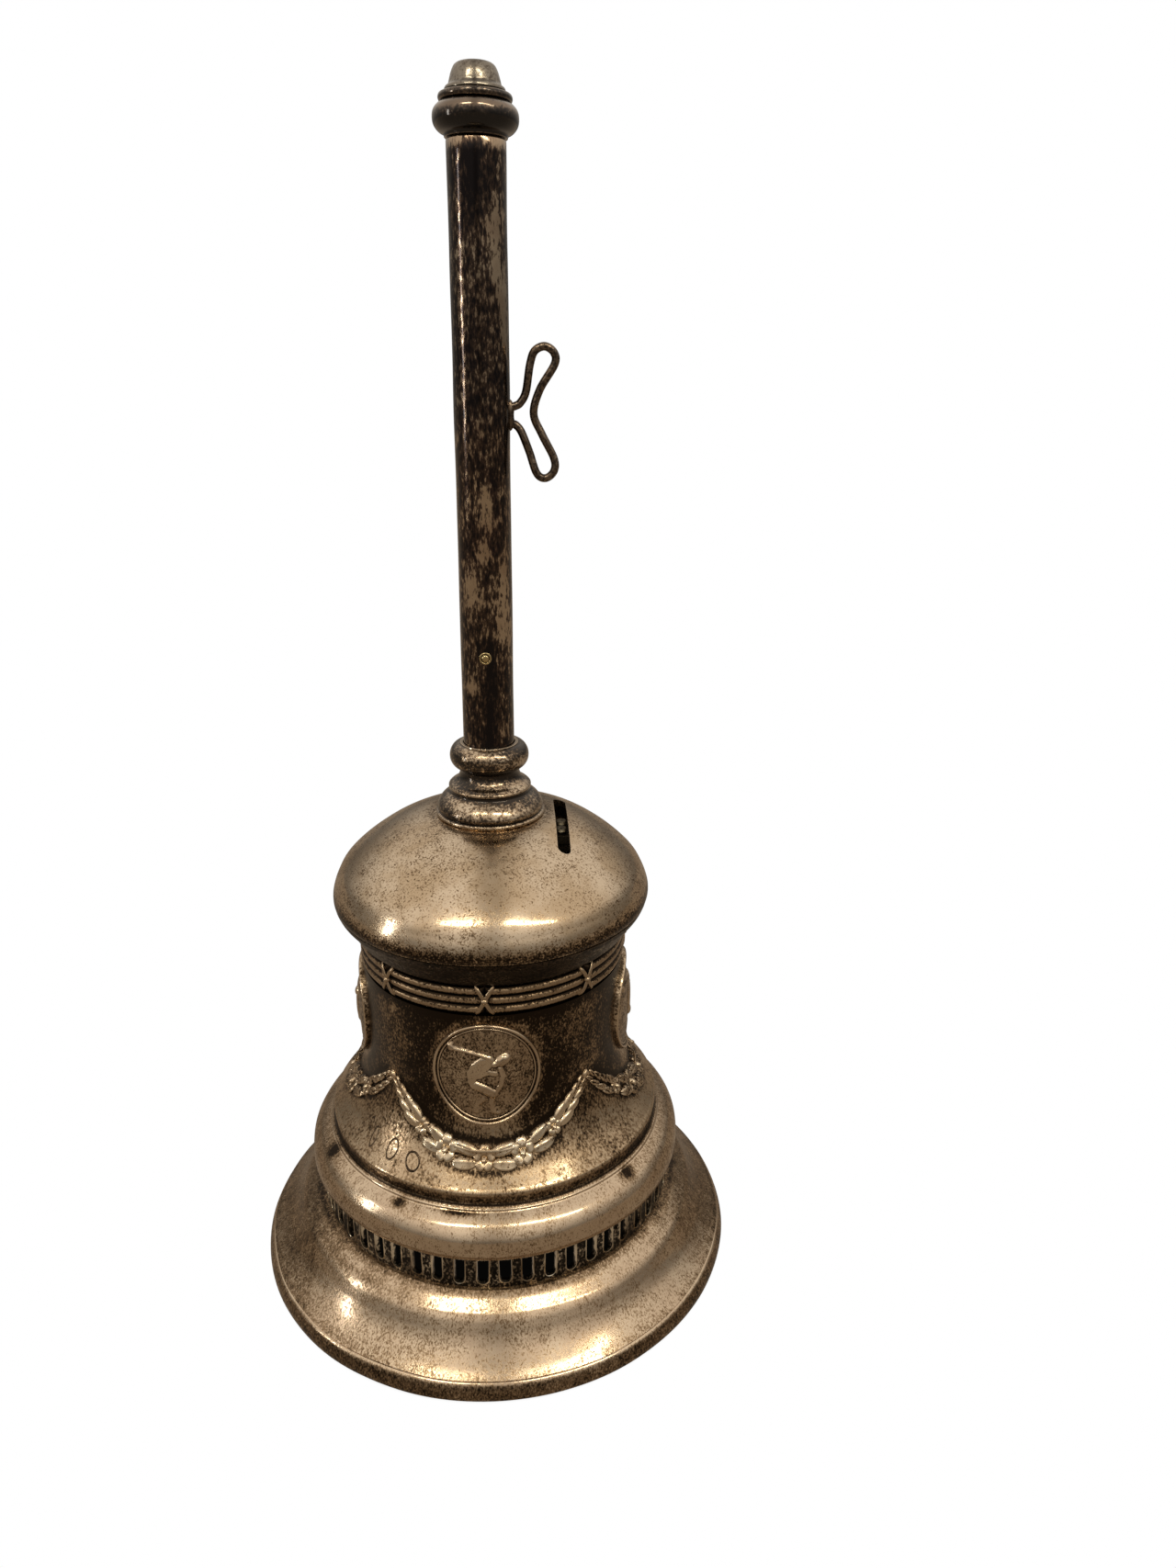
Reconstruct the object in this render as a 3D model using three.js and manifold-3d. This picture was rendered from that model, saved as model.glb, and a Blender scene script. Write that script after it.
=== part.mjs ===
// Silver-plated hand bell with a long tubular handle, a slotted dome, a drum with medallions and
// swags, and a wide foot with a pierced gallery. A clapper hangs from the handle's tie rod.
// Millimetres, +Z up, front towards -Y. The origin is the centre of the rim's flat bottom face.

import * as THREE from 'three';
import Module from 'manifold-3d';
import { mergeVertices } from 'three/addons/utils/BufferGeometryUtils.js';

const wasm = await Module();
wasm.setup();

// ---------------------------------------------------------------- driving dimensions
const GAP = 0.3; // clearance between pieces that rest on each other
const WALL = 1.4; // thickness of the spun shells
const RING_SIDES = 32; // sides of the large turned shells
const SMALL_SIDES = 18; // sides of the handle's turned pieces

const RIM_R = 61.7;
const RIM_INNER_R = 58.3;
const RIM_H = 4.5;

const GALLERY_R = 46.1;
const GALLERY_Z = [16.8, 28.4];
const GALLERY_SLOTS = 54;
const GALLERY_TURN = -1.3 * Math.PI / 180;
const SLOT_W = 2.6;
const SLOT_Z = [19.2, 27.4];

const TORUS_R = 48.1;
const TORUS_Z = [27.2, 38.1];

const BEAD_R = 41.9; // bead round the mouth of the drum
const DRUM_R = 32.4;
const BODY_Z = [36.6, 91];
const BAND_SEAT_R = 31.2; // reduced neck of the drum that carries the reeded band
const BAND_Z = 83.5;

const DOME_R = 38.4;
const DOME_SEAM_Z = 99.6;
const DOME_TOP_Z = 120.7;
const DOME_SLOT = { length: 27, width: 3, x: 17.1, y: -3.5, turn: THREE.MathUtils.degToRad(3) };

const TUBE_R = 6;
const TUBE_BORE_R = 5;
const TUBE_Z = [126.9, 261.2];
const PIN_Z = 159.2;
const PIN_R = 1.25;

const STUD_R = 3; // threaded end of the handle core
const STUD_HOLE_R = 3.4;
const FINIAL_TOP_Z = 275.4;

const MEDALLION = { halfWidth: 12.5, halfHeight: 13.4, z: 68.4, rimDepth: 1.3, crownDepth: 2.8 };
const SWAG = { lowZ: 48, rise: 13.8, spreadDeg: 43, halfHeight: 3.1, halfDepth: 1.2 };

const WIRE_R = 0.85;

const BRIDGE = { length: 40, width: 9.5, z: [113.4, 115.4] };
const STRAP = { halfSpan: 20, halfGap: 13, thickness: 1.5, bottomZ: 98.6 };
const RIVET_X = 17;
const RIVET_Y = 2.2;
const RIVET_HOLE_R = 1.4;

const EYE = { z: 93.5, ringR: 3.5, wireR: 1.1 };
const LINK = { ringR: 4, wireR: 1 };
const CLAPPER_EYE = { ringR: 3.2, wireR: 1.1 };
const EYE_SLACK = 0.25; // play between two hooked rings
const BALL = { r: 8.5, z: 48.5 };

// ---------------------------------------------------------------- finishes
const finish = (color, roughness, metalness = 1) =>
  new THREE.MeshStandardMaterial({ color, roughness, metalness });

const PLATE = finish(0x8f7d63, 0.38);
const DARK_PLATE = finish(0x4a4034, 0.45);
const TUBE_PLATE = finish(0x3b3029, 0.35);
const BRASS = finish(0x9a7b3c, 0.4);
const STEEL = finish(0x77787a, 0.45);

// ---------------------------------------------------------------- geometry helpers
// Joins shared corners and drops flat triangles, so that the surface is one closed body.
function closed(geometry) {
  const bare = geometry.clone();
  for (const name of Object.keys(bare.attributes)) {
    if (name !== 'position') bare.deleteAttribute(name);
  }
  const merged = mergeVertices(bare, 1e-4);
  const kept = [];
  const index = merged.index.array;
  for (let i = 0; i < index.length; i += 3) {
    const [a, b, c] = index.slice(i, i + 3);
    if (a !== b && b !== c && c !== a) kept.push(a, b, c);
  }
  merged.setIndex(kept);
  return merged;
}

function toManifold(geometry) {
  const mesh = closed(geometry);
  return new wasm.Manifold(new wasm.Mesh({
    numProp: 3,
    vertProperties: new Float32Array(mesh.attributes.position.array),
    triVerts: new Uint32Array(mesh.index.array),
  }));
}

function fromManifold(solid) {
  const mesh = solid.getMesh();
  const geometry = new THREE.BufferGeometry();
  geometry.setAttribute('position', new THREE.BufferAttribute(mesh.vertProperties, 3));
  geometry.setIndex(new THREE.BufferAttribute(mesh.triVerts, 1));
  return geometry;
}

function cut(geometry, tools) {
  return fromManifold(tools.reduce((solid, tool) => solid.subtract(toManifold(tool)), toManifold(geometry)));
}

function join(geometries) {
  const [first, ...rest] = geometries.map(toManifold);
  return fromManifold(rest.reduce((solid, next) => solid.add(next), first));
}

// Turns an outline of [radius, height] pairs, listed anticlockwise, round the +Z axis.
function turned(outline, sides = RING_SIDES) {
  const points = outline.map(([r, z]) => new THREE.Vector2(r, z));
  const onAxis = outline[0][0] === 0 && outline.at(-1)[0] === 0;
  if (!onAxis) points.push(points[0].clone());
  return new THREE.LatheGeometry(points, sides).rotateX(Math.PI / 2);
}

// A smooth line through a few [radius, height] pairs.
function smooth(pairs, divisions) {
  const spline = new THREE.SplineCurve(pairs.map(([r, z]) => new THREE.Vector2(r, z)));
  return spline.getPoints(divisions).map((p) => [p.x, p.y]);
}

// Outline of a thin shell whose outside is the given line, listed from bottom to top. Its inside
// follows every other point of that line.
function shell(outside, thickness = WALL, leastR = 0) {
  const last = outside.length - 1;
  const inside = outside.map(([r, z], i) => {
    const [r0, z0] = outside[Math.max(i - 1, 0)];
    const [r1, z1] = outside[Math.min(i + 1, last)];
    const run = Math.hypot(r1 - r0, z1 - z0);
    return [Math.max(r - thickness * (z1 - z0) / run, leastR), z + thickness * (r1 - r0) / run];
  }).filter((_, i) => i % 2 === 0 || i === last);
  return [...outside, ...inside.reverse()];
}

function rod(radius, z0, z1, sides = SMALL_SIDES) {
  return turned([[0, z0], [radius, z0], [radius, z1], [0, z1]], sides);
}

function sleeve(innerR, outerR, z0, z1, sides = SMALL_SIDES) {
  return turned([[outerR, z0], [outerR, z1], [innerR, z1], [innerR, z0]], sides);
}

function ringInXZ(ringR, wireR, z) {
  return new THREE.TorusGeometry(ringR, wireR, 8, 16).rotateX(Math.PI / 2).translate(0, 0, z);
}

function hexNut(acrossFlats, boreR, z0, z1) {
  const corner = acrossFlats / Math.sqrt(3);
  const hex = new THREE.Shape(Array.from({ length: 6 }, (_, i) =>
    new THREE.Vector2(corner * Math.cos(i * Math.PI / 3), corner * Math.sin(i * Math.PI / 3))));
  const bore = new THREE.Path();
  bore.absarc(0, 0, boreR, 0, 2 * Math.PI, true);
  hex.holes.push(bore);
  const nut = new THREE.ExtrudeGeometry(hex, { depth: z1 - z0, bevelEnabled: false, curveSegments: 6 });
  return nut.translate(0, 0, z0);
}

// ---------------------------------------------------------------- assembly
const bell = new THREE.Group();

function piece(name, geometry, material, turn = 0) {
  const mesh = new THREE.Mesh(closed(geometry), material.clone());
  mesh.name = name;
  mesh.rotation.z = turn;
  bell.add(mesh);
  return mesh;
}

// ---------------------------------------------------------------- foot
function rimBand() {
  return turned([
    [RIM_INNER_R, 0], [RIM_R, 0], [RIM_R, 1.4], [RIM_R - 0.5, 3],
    [RIM_R - 1.4, RIM_H - 0.2], [RIM_R - 2.4, RIM_H], [RIM_INNER_R, RIM_H - 0.3],
  ]);
}

function footSkirt() {
  const lipR = GALLERY_R + 0.5;
  const ogee = smooth([
    [59.9, 4.8], [58.4, 6], [56.8, 7.4], [55, 9.2], [53.2, 11.5], [51.9, 13.6], [50.9, 15.2],
    [50, 16.4], [48.9, 17.5], [47.5, 18.5],
  ], 9);
  const inside = [
    [lipR, 17], [48.1, 16], [49.3, 14.4], [50.3, 12.9], [51.7, 10.6], [53.6, 8.2], [55.6, 6.4], [57.6, 4.8],
  ];
  return turned([...ogee, [lipR, 18.6], ...inside]);
}

function piercedGallery() {
  const [z0, z1] = GALLERY_Z;
  const ring = sleeve(GALLERY_R - WALL, GALLERY_R, z0, z1, GALLERY_SLOTS)
    .rotateZ(Math.PI / GALLERY_SLOTS);
  const half = SLOT_W / 2;
  const opening = new THREE.Shape();
  opening.moveTo(-half, SLOT_Z[1]);
  opening.lineTo(-half, SLOT_Z[0] + half);
  opening.absarc(0, SLOT_Z[0] + half, half, Math.PI, 2 * Math.PI, false);
  opening.lineTo(half, SLOT_Z[1]);
  const cutter = new THREE.ExtrudeGeometry(opening, { depth: 4, bevelEnabled: false, curveSegments: 3 })
    .rotateX(Math.PI / 2)
    .translate(0, -GALLERY_R + 3, 0);
  const cutters = Array.from({ length: GALLERY_SLOTS }, (_, i) =>
    cutter.clone().rotateZ(2 * Math.PI * i / GALLERY_SLOTS));
  return cut(ring, cutters).rotateZ(GALLERY_TURN);
}

function torusRing() {
  const [z0, z1] = TORUS_Z;
  const outside = smooth([
    [46.6, z0], [47.6, z0 + 0.5], [TORUS_R, z0 + 1.8], [48.1, z0 + 3.7], [47.7, z0 + 5.5],
    [46.8, z0 + 7.1], [45.8, z0 + 8.4], [44.9, z0 + 9.1], [43.8, z0 + 9.9], [42.4, z1],
  ], 8);
  const inside = [[42.4, 36.4], [43.2, 35.6], [45.6, 32.2], [46.6, 29.6]];
  return turned([...outside, ...inside]);
}

// ---------------------------------------------------------------- drum
const FLARE = smooth([
  [BEAD_R - 0.2, 42.1], [40.2, 43.7], [38, 46.2], [35.9, 49.3], [34.2, 52.9], [33.1, 57], [DRUM_R, 64],
], 7);
const BODY_OUTSIDE = [
  [BEAD_R, BODY_Z[0]], [BEAD_R, 41.5], ...FLARE, [DRUM_R, BAND_Z], [BAND_SEAT_R, BAND_Z + 0.1],
  [BAND_SEAT_R, BODY_Z[1]],
];

// Radius of the drum's outside at a height, for the ornaments that lie on it.
function drumRadius(z) {
  const next = Math.max(BODY_OUTSIDE.findIndex(([, height]) => height >= z), 1);
  const [r0, z0] = BODY_OUTSIDE[next - 1];
  const [r1, z1] = BODY_OUTSIDE[next];
  return r0 + (r1 - r0) * (z - z0) / (z1 - z0);
}

function bellBody() {
  const seatBoreR = BAND_SEAT_R - WALL;
  const inside = [
    [seatBoreR, BODY_Z[1]], [seatBoreR, BAND_Z - 1.6], [DRUM_R - WALL, BAND_Z - 1.8],
    ...FLARE.filter((_, i) => i % 2 === 1).map(([r, z]) => [r - WALL, z - 0.8]).reverse(),
    [BEAD_R - WALL, BODY_Z[0]],
  ];
  return turned([...BODY_OUTSIDE, ...inside]);
}

function reedBand() {
  const reedR = 1.15;
  const centreR = 31.9;
  const outline = [];
  for (let reed = 0; reed < 3; reed += 1) {
    const z = BAND_Z + 0.4 + reedR + reed * 2 * reedR * 1.05;
    for (let step = 0; step <= 3; step += 1) {
      const angle = Math.PI * (step / 3 - 0.5);
      outline.push([centreR + reedR * Math.cos(angle), z + reedR * Math.sin(angle)]);
    }
  }
  const boreR = BAND_SEAT_R + GAP;
  return turned([...outline, [boreR, outline.at(-1)[1]], [boreR, outline[0][1]]]);
}

// Lays a flat relief on the drum: x runs round it, y is height, z is depth above its surface.
function laidOnDrum(geometry) {
  const position = geometry.attributes.position;
  for (let i = 0; i < position.count; i += 1) {
    const azimuth = position.getX(i) / DRUM_R;
    const z = position.getY(i);
    const r = drumRadius(z) + GAP + position.getZ(i);
    position.setXYZ(i, r * Math.sin(azimuth), -r * Math.cos(azimuth), z);
  }
  return geometry;
}

function medallion() {
  const { halfWidth, halfHeight, z, rimDepth, crownDepth } = MEDALLION;
  const profile = [
    [0, 0], [0.5, 0], [1, 0], [1, rimDepth - 0.3], [0.97, rimDepth], [0.93, rimDepth],
    [0.9, rimDepth - 0.2], [0.5, crownDepth - 0.4], [0, crownDepth],
  ].map(([r, depth]) => new THREE.Vector2(r, depth));
  const oval = new THREE.LatheGeometry(profile, SMALL_SIDES).rotateX(Math.PI / 2);
  return laidOnDrum(oval.scale(halfWidth, halfHeight, 1).translate(0, z, 0));
}

// A spindle bent into a hanging swag that follows the drum's flare.
function swag() {
  const spindle = new THREE.SphereGeometry(1, 8, 14).rotateZ(Math.PI / 2);
  const position = spindle.attributes.position;
  const spread = THREE.MathUtils.degToRad(SWAG.spreadDeg);
  for (let i = 0; i < position.count; i += 1) {
    const along = 2 * Math.asin(THREE.MathUtils.clamp(position.getX(i), -1, 1)) / Math.PI;
    const z = SWAG.lowZ + SWAG.rise * Math.abs(along) ** 2.2 + SWAG.halfHeight * position.getY(i);
    const r = drumRadius(z) + GAP + SWAG.halfDepth * (1 + position.getZ(i));
    position.setXYZ(i, r * Math.sin(along * spread), -r * Math.cos(along * spread), z);
  }
  return spindle;
}

// ---------------------------------------------------------------- dome and collar
function neckRing() {
  const outside = smooth([[32.8, 91.5], [34.2, 93], [35.8, 95.6], [37.4, 97.7], [38.1, 99.2]], 4);
  return turned(shell(outside));
}

function domeCap() {
  const outside = smooth([
    [38.2, DOME_SEAM_Z], [DOME_R, 101], [37.8, 103.5], [35.3, 108], [30.5, 112.5], [23.8, 117],
    [17, 119.6], [9, DOME_TOP_Z - 0.1], [STUD_HOLE_R, DOME_TOP_Z],
  ], 10);
  const { length, width, x, y, turn } = DOME_SLOT;
  const reach = (length - width) / 2;
  const opening = new THREE.Shape();
  opening.absarc(0, reach, width / 2, 0, Math.PI, false);
  opening.absarc(0, -reach, width / 2, Math.PI, 2 * Math.PI, false);
  const cutter = new THREE.ExtrudeGeometry(opening, { depth: 20, bevelEnabled: false, curveSegments: 4 })
    .rotateZ(turn)
    .translate(x, y, 105);
  return cut(turned(shell(outside, WALL, STUD_HOLE_R)), [cutter]);
}

function collar() {
  const baseZ = DOME_TOP_Z + GAP;
  const moulding = [
    [9, 120.95], [12.8, 120.5], [13, 120.9], [12.6, 121.6], [12.7, 122.3], [12.3, 123.3], [11.5, 124.4],
    [10.5, 125.3], [9.7, 125.9], [9.5, 126.9], [9.7, 127.4], [9.2, 128], [8.3, 128.5], [7.4, 129.6],
    [7.1, 130.8], [7.4, 131.8], [8.5, 132.6], [9.1, 133.7], [9.3, 134.9], [9, 136.2], [8.3, 137.1],
    [7.4, 137.6], [6.9, 138],
  ];
  const bore = [
    [TUBE_R + GAP, 138], [TUBE_R + GAP, TUBE_Z[0] - GAP], [TUBE_BORE_R, TUBE_Z[0] - GAP],
    [TUBE_BORE_R, baseZ],
  ];
  return turned([...moulding, ...bore], SMALL_SIDES);
}

// ---------------------------------------------------------------- handle
function crossRod(radius, halfLength) {
  return new THREE.CylinderGeometry(radius, radius, 2 * halfLength, 12).translate(0, 0, PIN_Z);
}

function handleTube() {
  return cut(sleeve(TUBE_BORE_R, TUBE_R, ...TUBE_Z), [crossRod(PIN_R + 0.2, 2 * TUBE_R)]);
}

// Spigot inside the foot of the tube, with the threaded end that ties collar, dome and hanger.
function handleCore() {
  const spigotR = TUBE_BORE_R - GAP;
  const stepZ = DOME_TOP_Z + GAP + 0.1;
  const bar = turned([
    [0, 106.5], [STUD_R, 106.5], [STUD_R, stepZ], [spigotR, stepZ], [spigotR, PIN_Z + 8], [0, PIN_Z + 8],
  ], SMALL_SIDES);
  return cut(bar, [crossRod(PIN_R + 0.2, 2 * TUBE_R)]);
}

function finialBulb() {
  return turned([
    [6.3, 261.6], [7.4, 262.4], [8.3, 263.7], [8.55, 265], [8.1, 266.3], [7.3, 267.2],
    [2.9, 267.2], [2.9, 261.6],
  ], SMALL_SIDES);
}

function finialFlange() {
  return turned([[6.9, 267.5], [7.15, 268.2], [6.9, 268.9], [2.9, 268.9], [2.9, 267.5]], SMALL_SIDES);
}

function finialTip() {
  return turned([
    [0, 252], [2.5, 252], [2.5, 269.2], [6, 269.2], [5.3, 270.3], [4.8, 271.7], [4.5, 272.8],
    [3.7, 273.9], [2.3, 274.9], [0, FINIAL_TOP_Z],
  ], SMALL_SIDES);
}

// One wire bent into two loops, above and below, with both ends on the tube.
function wireCleat() {
  const route = [
    [7.15, 212.4], [8.1, 213], [9.3, 215.2], [10.2, 220.6], [11.2, 223.2], [13.3, 224.1],
    [15.2, 222.9], [15.3, 220.6], [12.2, 215.6], [10.9, 210.8], [12.7, 206.6], [15.2, 201.8],
    [15.2, 199.2], [13.4, 197.7], [11.5, 198.7], [9.9, 203.2], [8.3, 207.1], [7.15, 208.5],
  ].map(([x, z]) => new THREE.Vector3(x, 0, z));
  const path = new THREE.CatmullRomCurve3(route, false, 'centripetal');
  const section = new THREE.Shape();
  section.absarc(0, 0, WIRE_R, 0, 2 * Math.PI, false);
  return new THREE.ExtrudeGeometry(section, { steps: 40, extrudePath: path, curveSegments: 3 });
}

function cleatPad() {
  return new THREE.BoxGeometry(0.5, 2.2, 5.6).translate(TUBE_R + 0.32, 0, 210.5);
}

// ---------------------------------------------------------------- hanger under the dome
function rivetPlaces() {
  return [[-1, -1], [1, -1], [1, 1], [-1, 1]].map(([i, j]) => [i * RIVET_X, j * RIVET_Y]);
}

function rivetHoles() {
  return rivetPlaces().map(([x, y]) => rod(RIVET_HOLE_R, 90, 130, 10).translate(x, y, 0));
}

function hangerBridge() {
  const [z0, z1] = BRIDGE.z;
  const bar = new THREE.BoxGeometry(BRIDGE.length, BRIDGE.width, z1 - z0).translate(0, 0, (z0 + z1) / 2);
  return cut(bar, [rod(STUD_HOLE_R, z0 - 1, z1 + 1), ...rivetHoles()]);
}

function hangerStrap() {
  const { halfSpan, halfGap, thickness, bottomZ } = STRAP;
  const footZ = BRIDGE.z[0] - GAP;
  const half = [
    [halfGap + thickness, bottomZ], [halfGap + thickness, footZ - thickness],
    [halfSpan, footZ - thickness], [halfSpan, footZ], [halfGap, footZ], [halfGap, bottomZ + thickness],
  ];
  const mirrored = half.map(([x, z]) => [-x, z]).reverse();
  const outline = new THREE.Shape([...half, ...mirrored].map(([x, z]) => new THREE.Vector2(x, z)));
  const strap = new THREE.ExtrudeGeometry(outline, { depth: BRIDGE.width, bevelEnabled: false })
    .rotateX(Math.PI / 2)
    .translate(0, BRIDGE.width / 2, 0);
  return cut(strap, [rod(2.3, bottomZ - 1, bottomZ + 3), ...rivetHoles()]);
}

function rivet() {
  const under = BRIDGE.z[0] - GAP - STRAP.thickness - GAP;
  const over = BRIDGE.z[1] + GAP;
  return turned([
    [0, under - 1.2], [1.3, under - 1], [1.9, under - 0.4], [1.9, under], [1.1, under], [1.1, over],
    [1.9, over], [1.9, over + 0.4], [1.3, over + 1], [0, over + 1.2],
  ], 12);
}

// ---------------------------------------------------------------- clapper
const EYE_WIRE_Z = EYE.z - EYE.ringR;
const LINK_Z = EYE_WIRE_Z + EYE.wireR + LINK.wireR + EYE_SLACK - LINK.ringR;
const LINK_WIRE_Z = LINK_Z - LINK.ringR;
const CLAPPER_EYE_Z = LINK_WIRE_Z + LINK.wireR + CLAPPER_EYE.wireR + EYE_SLACK - CLAPPER_EYE.ringR;

function clapperEyebolt() {
  const shank = turned([
    [0, EYE.z + EYE.ringR - 0.4], [1.8, EYE.z + EYE.ringR - 0.4], [3.3, 97.4], [3.3, 98.3], [2, 98.3],
    [2, 105.6], [0, 105.6],
  ], 16);
  return join([ringInXZ(EYE.ringR, EYE.wireR, EYE.z), shank]);
}

function clapperLink() {
  return new THREE.TorusGeometry(LINK.ringR, LINK.wireR, 8, 16)
    .rotateY(Math.PI / 2)
    .translate(0, 0, LINK_Z);
}

function clapperRod() {
  const shaftTopZ = CLAPPER_EYE_Z - CLAPPER_EYE.ringR + 0.4;
  return join([
    ringInXZ(CLAPPER_EYE.ringR, CLAPPER_EYE.wireR, CLAPPER_EYE_Z),
    rod(1.6, BALL.z - 5, shaftTopZ, 12),
  ]);
}

function clapperBall() {
  const ball = new THREE.SphereGeometry(BALL.r, 16, 10).rotateX(Math.PI / 2).translate(0, 0, BALL.z);
  return cut(ball, [rod(1.9, BALL.z - 5.4, BALL.z + 12, 12)]);
}

// ---------------------------------------------------------------- the whole bell
const QUARTERS = ['front', 'right', 'back', 'left'];

piece('rim_band', rimBand(), PLATE);
piece('foot_skirt', footSkirt(), PLATE);
piece('pierced_gallery', piercedGallery(), DARK_PLATE);
piece('torus_ring', torusRing(), PLATE);
piece('bell_body', bellBody(), PLATE);
piece('reed_band', reedBand(), PLATE);
QUARTERS.forEach((side, i) => {
  piece(`medallion_${side}`, medallion(), PLATE, i * Math.PI / 2);
  piece(`garland_${side}`, swag(), PLATE, i * Math.PI / 2);
});
piece('neck_ring', neckRing(), DARK_PLATE);
piece('dome_cap', domeCap(), PLATE);
piece('collar', collar(), PLATE);
piece('handle_tube', handleTube(), TUBE_PLATE);
piece('handle_core', handleCore(), STEEL);
piece('tube_pin', crossRod(PIN_R, TUBE_R + 0.3), BRASS);
piece('tube_plug', sleeve(2.9, TUBE_BORE_R - GAP, 250, TUBE_Z[1] - GAP), BRASS);
piece('finial_bulb', finialBulb(), TUBE_PLATE);
piece('finial_flange', finialFlange(), TUBE_PLATE);
piece('finial_tip', finialTip(), BRASS);
piece('wire_cleat', wireCleat(), TUBE_PLATE);
piece('cleat_pad', cleatPad(), TUBE_PLATE);
piece('crown_washer', sleeve(STUD_HOLE_R, 8, BRIDGE.z[1] + GAP, 118.5), STEEL);
piece('crown_nut', hexNut(10, STUD_R + GAP, 108.4, BRIDGE.z[0] - GAP), STEEL);
piece('hanger_bridge', hangerBridge(), STEEL);
piece('hanger_strap', hangerStrap(), STEEL);
rivetPlaces().forEach(([x, y], i) => piece(`strap_rivet_${i + 1}`, rivet().translate(x, y, 0), STEEL));
piece('clapper_eyebolt', clapperEyebolt(), STEEL);
piece('eyebolt_nut', hexNut(7, 2.3, 100.4, 103.4), STEEL);
piece('clapper_link', clapperLink(), STEEL);
piece('clapper_rod', clapperRod(), STEEL);
piece('clapper_ball', clapperBall(), BRASS);

export default bell;
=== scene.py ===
"""A silver-plated hand bell: fine surfaces, ornaments, materials, light and camera.

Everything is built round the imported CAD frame. Shapes are given in millimetres in the row frame
and turned into metres when a mesh is made. An azimuth is in degrees from the front (-Y) towards
the right (+X).
"""

import math

import bmesh
import bpy
import numpy as np
from mathutils import Matrix, Vector, noise


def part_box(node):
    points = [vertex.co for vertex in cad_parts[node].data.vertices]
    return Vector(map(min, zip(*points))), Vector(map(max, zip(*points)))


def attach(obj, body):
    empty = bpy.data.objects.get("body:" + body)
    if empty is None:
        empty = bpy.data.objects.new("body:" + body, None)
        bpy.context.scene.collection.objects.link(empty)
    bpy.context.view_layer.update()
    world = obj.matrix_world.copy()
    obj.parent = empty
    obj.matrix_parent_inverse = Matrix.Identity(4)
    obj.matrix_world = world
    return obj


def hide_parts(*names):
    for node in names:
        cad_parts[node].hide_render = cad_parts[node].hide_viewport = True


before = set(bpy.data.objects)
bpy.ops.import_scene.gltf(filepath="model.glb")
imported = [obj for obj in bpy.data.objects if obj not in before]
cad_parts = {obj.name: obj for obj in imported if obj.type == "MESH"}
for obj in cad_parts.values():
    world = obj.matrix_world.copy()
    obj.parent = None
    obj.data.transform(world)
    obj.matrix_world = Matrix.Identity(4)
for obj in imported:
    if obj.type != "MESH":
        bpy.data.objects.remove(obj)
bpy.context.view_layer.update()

MM = 0.001
SIDES = 192  # sides of the large turned pieces
SMALL_SIDES = 72  # sides of the handle and of small turned pieces
SEED = 7
INSIDE_TARNISH_AND_SHADE = 0.6  # how dark the hidden inside of a shell is painted: tarnish and painted shade

# ---------------- driving dimensions, mm
WALL = 1.4
DRUM_R = 32.4
SWAG_LOW, SWAG_RISE, SWAG_REACH, SWAG_POWER = 48.0, 13.8, 45.0, 2.2
MEDALLION_Z, MEDALLION_HALF_W, MEDALLION_HALF_H = 68.4, 12.5, 13.4
GALLERY_SLOTS, GALLERY_TURN, SLOT_WIDTH = 54, math.radians(-1.3), 2.6
QUARTERS = {"front": 0.0, "right": 90.0, "back": 180.0, "left": 270.0}


def box_mm(node):
    """The lowest and the highest corner of a CAD node, in millimetres."""
    low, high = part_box(node)
    return np.array(low) / MM, np.array(high) / MM


# ---------------- outlines
def spline(points, steps=7):
    """A smooth line through a few points (Catmull-Rom)."""
    p = np.array(points, float)
    p = np.vstack([2 * p[0] - p[1], p, 2 * p[-1] - p[-2]])
    line = []
    for a, b, c, d in zip(p, p[1:], p[2:], p[3:]):
        for t in np.linspace(0, 1, steps, endpoint=False):
            line.append(0.5 * (2 * b + (c - a) * t + (2 * a - 5 * b + 4 * c - d) * t ** 2
                               + (3 * b - a - 3 * c + d) * t ** 3))
    line.append(p[-2])
    return np.array(line)


def rounded(points, steps=4):
    """A line of straight stretches. A point's third number is the size of its rounded corner."""
    line = []
    for i, point in enumerate(points):
        here = np.array(point[:2], float)
        if len(point) < 3:
            line.append(here)
            continue
        before = np.array(points[i - 1][:2], float) - here
        after = np.array(points[(i + 1) % len(points)][:2], float) - here
        start = here + before * min(point[2] / np.linalg.norm(before), 0.5)
        end = here + after * min(point[2] / np.linalg.norm(after), 0.5)
        for t in np.linspace(0, 1, steps + 1):
            line.append((1 - t) ** 2 * start + 2 * t * (1 - t) * here + t ** 2 * end)
    return np.array(line)


def offset_inwards(line, thickness):
    """The inside of a shell whose outside is the given line, listed from top to bottom."""
    direction = np.gradient(line, axis=0)
    direction /= np.linalg.norm(direction, axis=1)[:, None]
    inside = line + thickness * np.column_stack([-direction[:, 1], direction[:, 0]])
    return inside[::-1]


def swag_height(azimuth):
    """Height of the middle of a hanging swag, by the azimuth from its lowest point."""
    return SWAG_LOW + SWAG_RISE * np.abs(azimuth / SWAG_REACH) ** SWAG_POWER


FLARE = spline([
    (41.6, 42.2), (40.2, 43.7), (38, 46.2), (35.9, 49.3), (34.2, 52.9), (33.1, 57), (32.5, 61.5), (32.4, 66),
])


def drum_radius(height):
    return np.interp(height, FLARE[:, 1], FLARE[:, 0])


def bell_curve(value, centre, width):
    return np.exp(-((value - centre) / width) ** 2)


def step(value, low, high):
    """0 before low and 1 after high, with a smooth rise. Low may be above high."""
    t = np.clip((value - low) / (high - low), 0, 1)
    return t * t * (3 - 2 * t)


def from_azimuth(azimuth, centre):
    """Degrees between two azimuths, from -180 to 180."""
    return (azimuth - centre + 180) % 360 - 180


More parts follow.
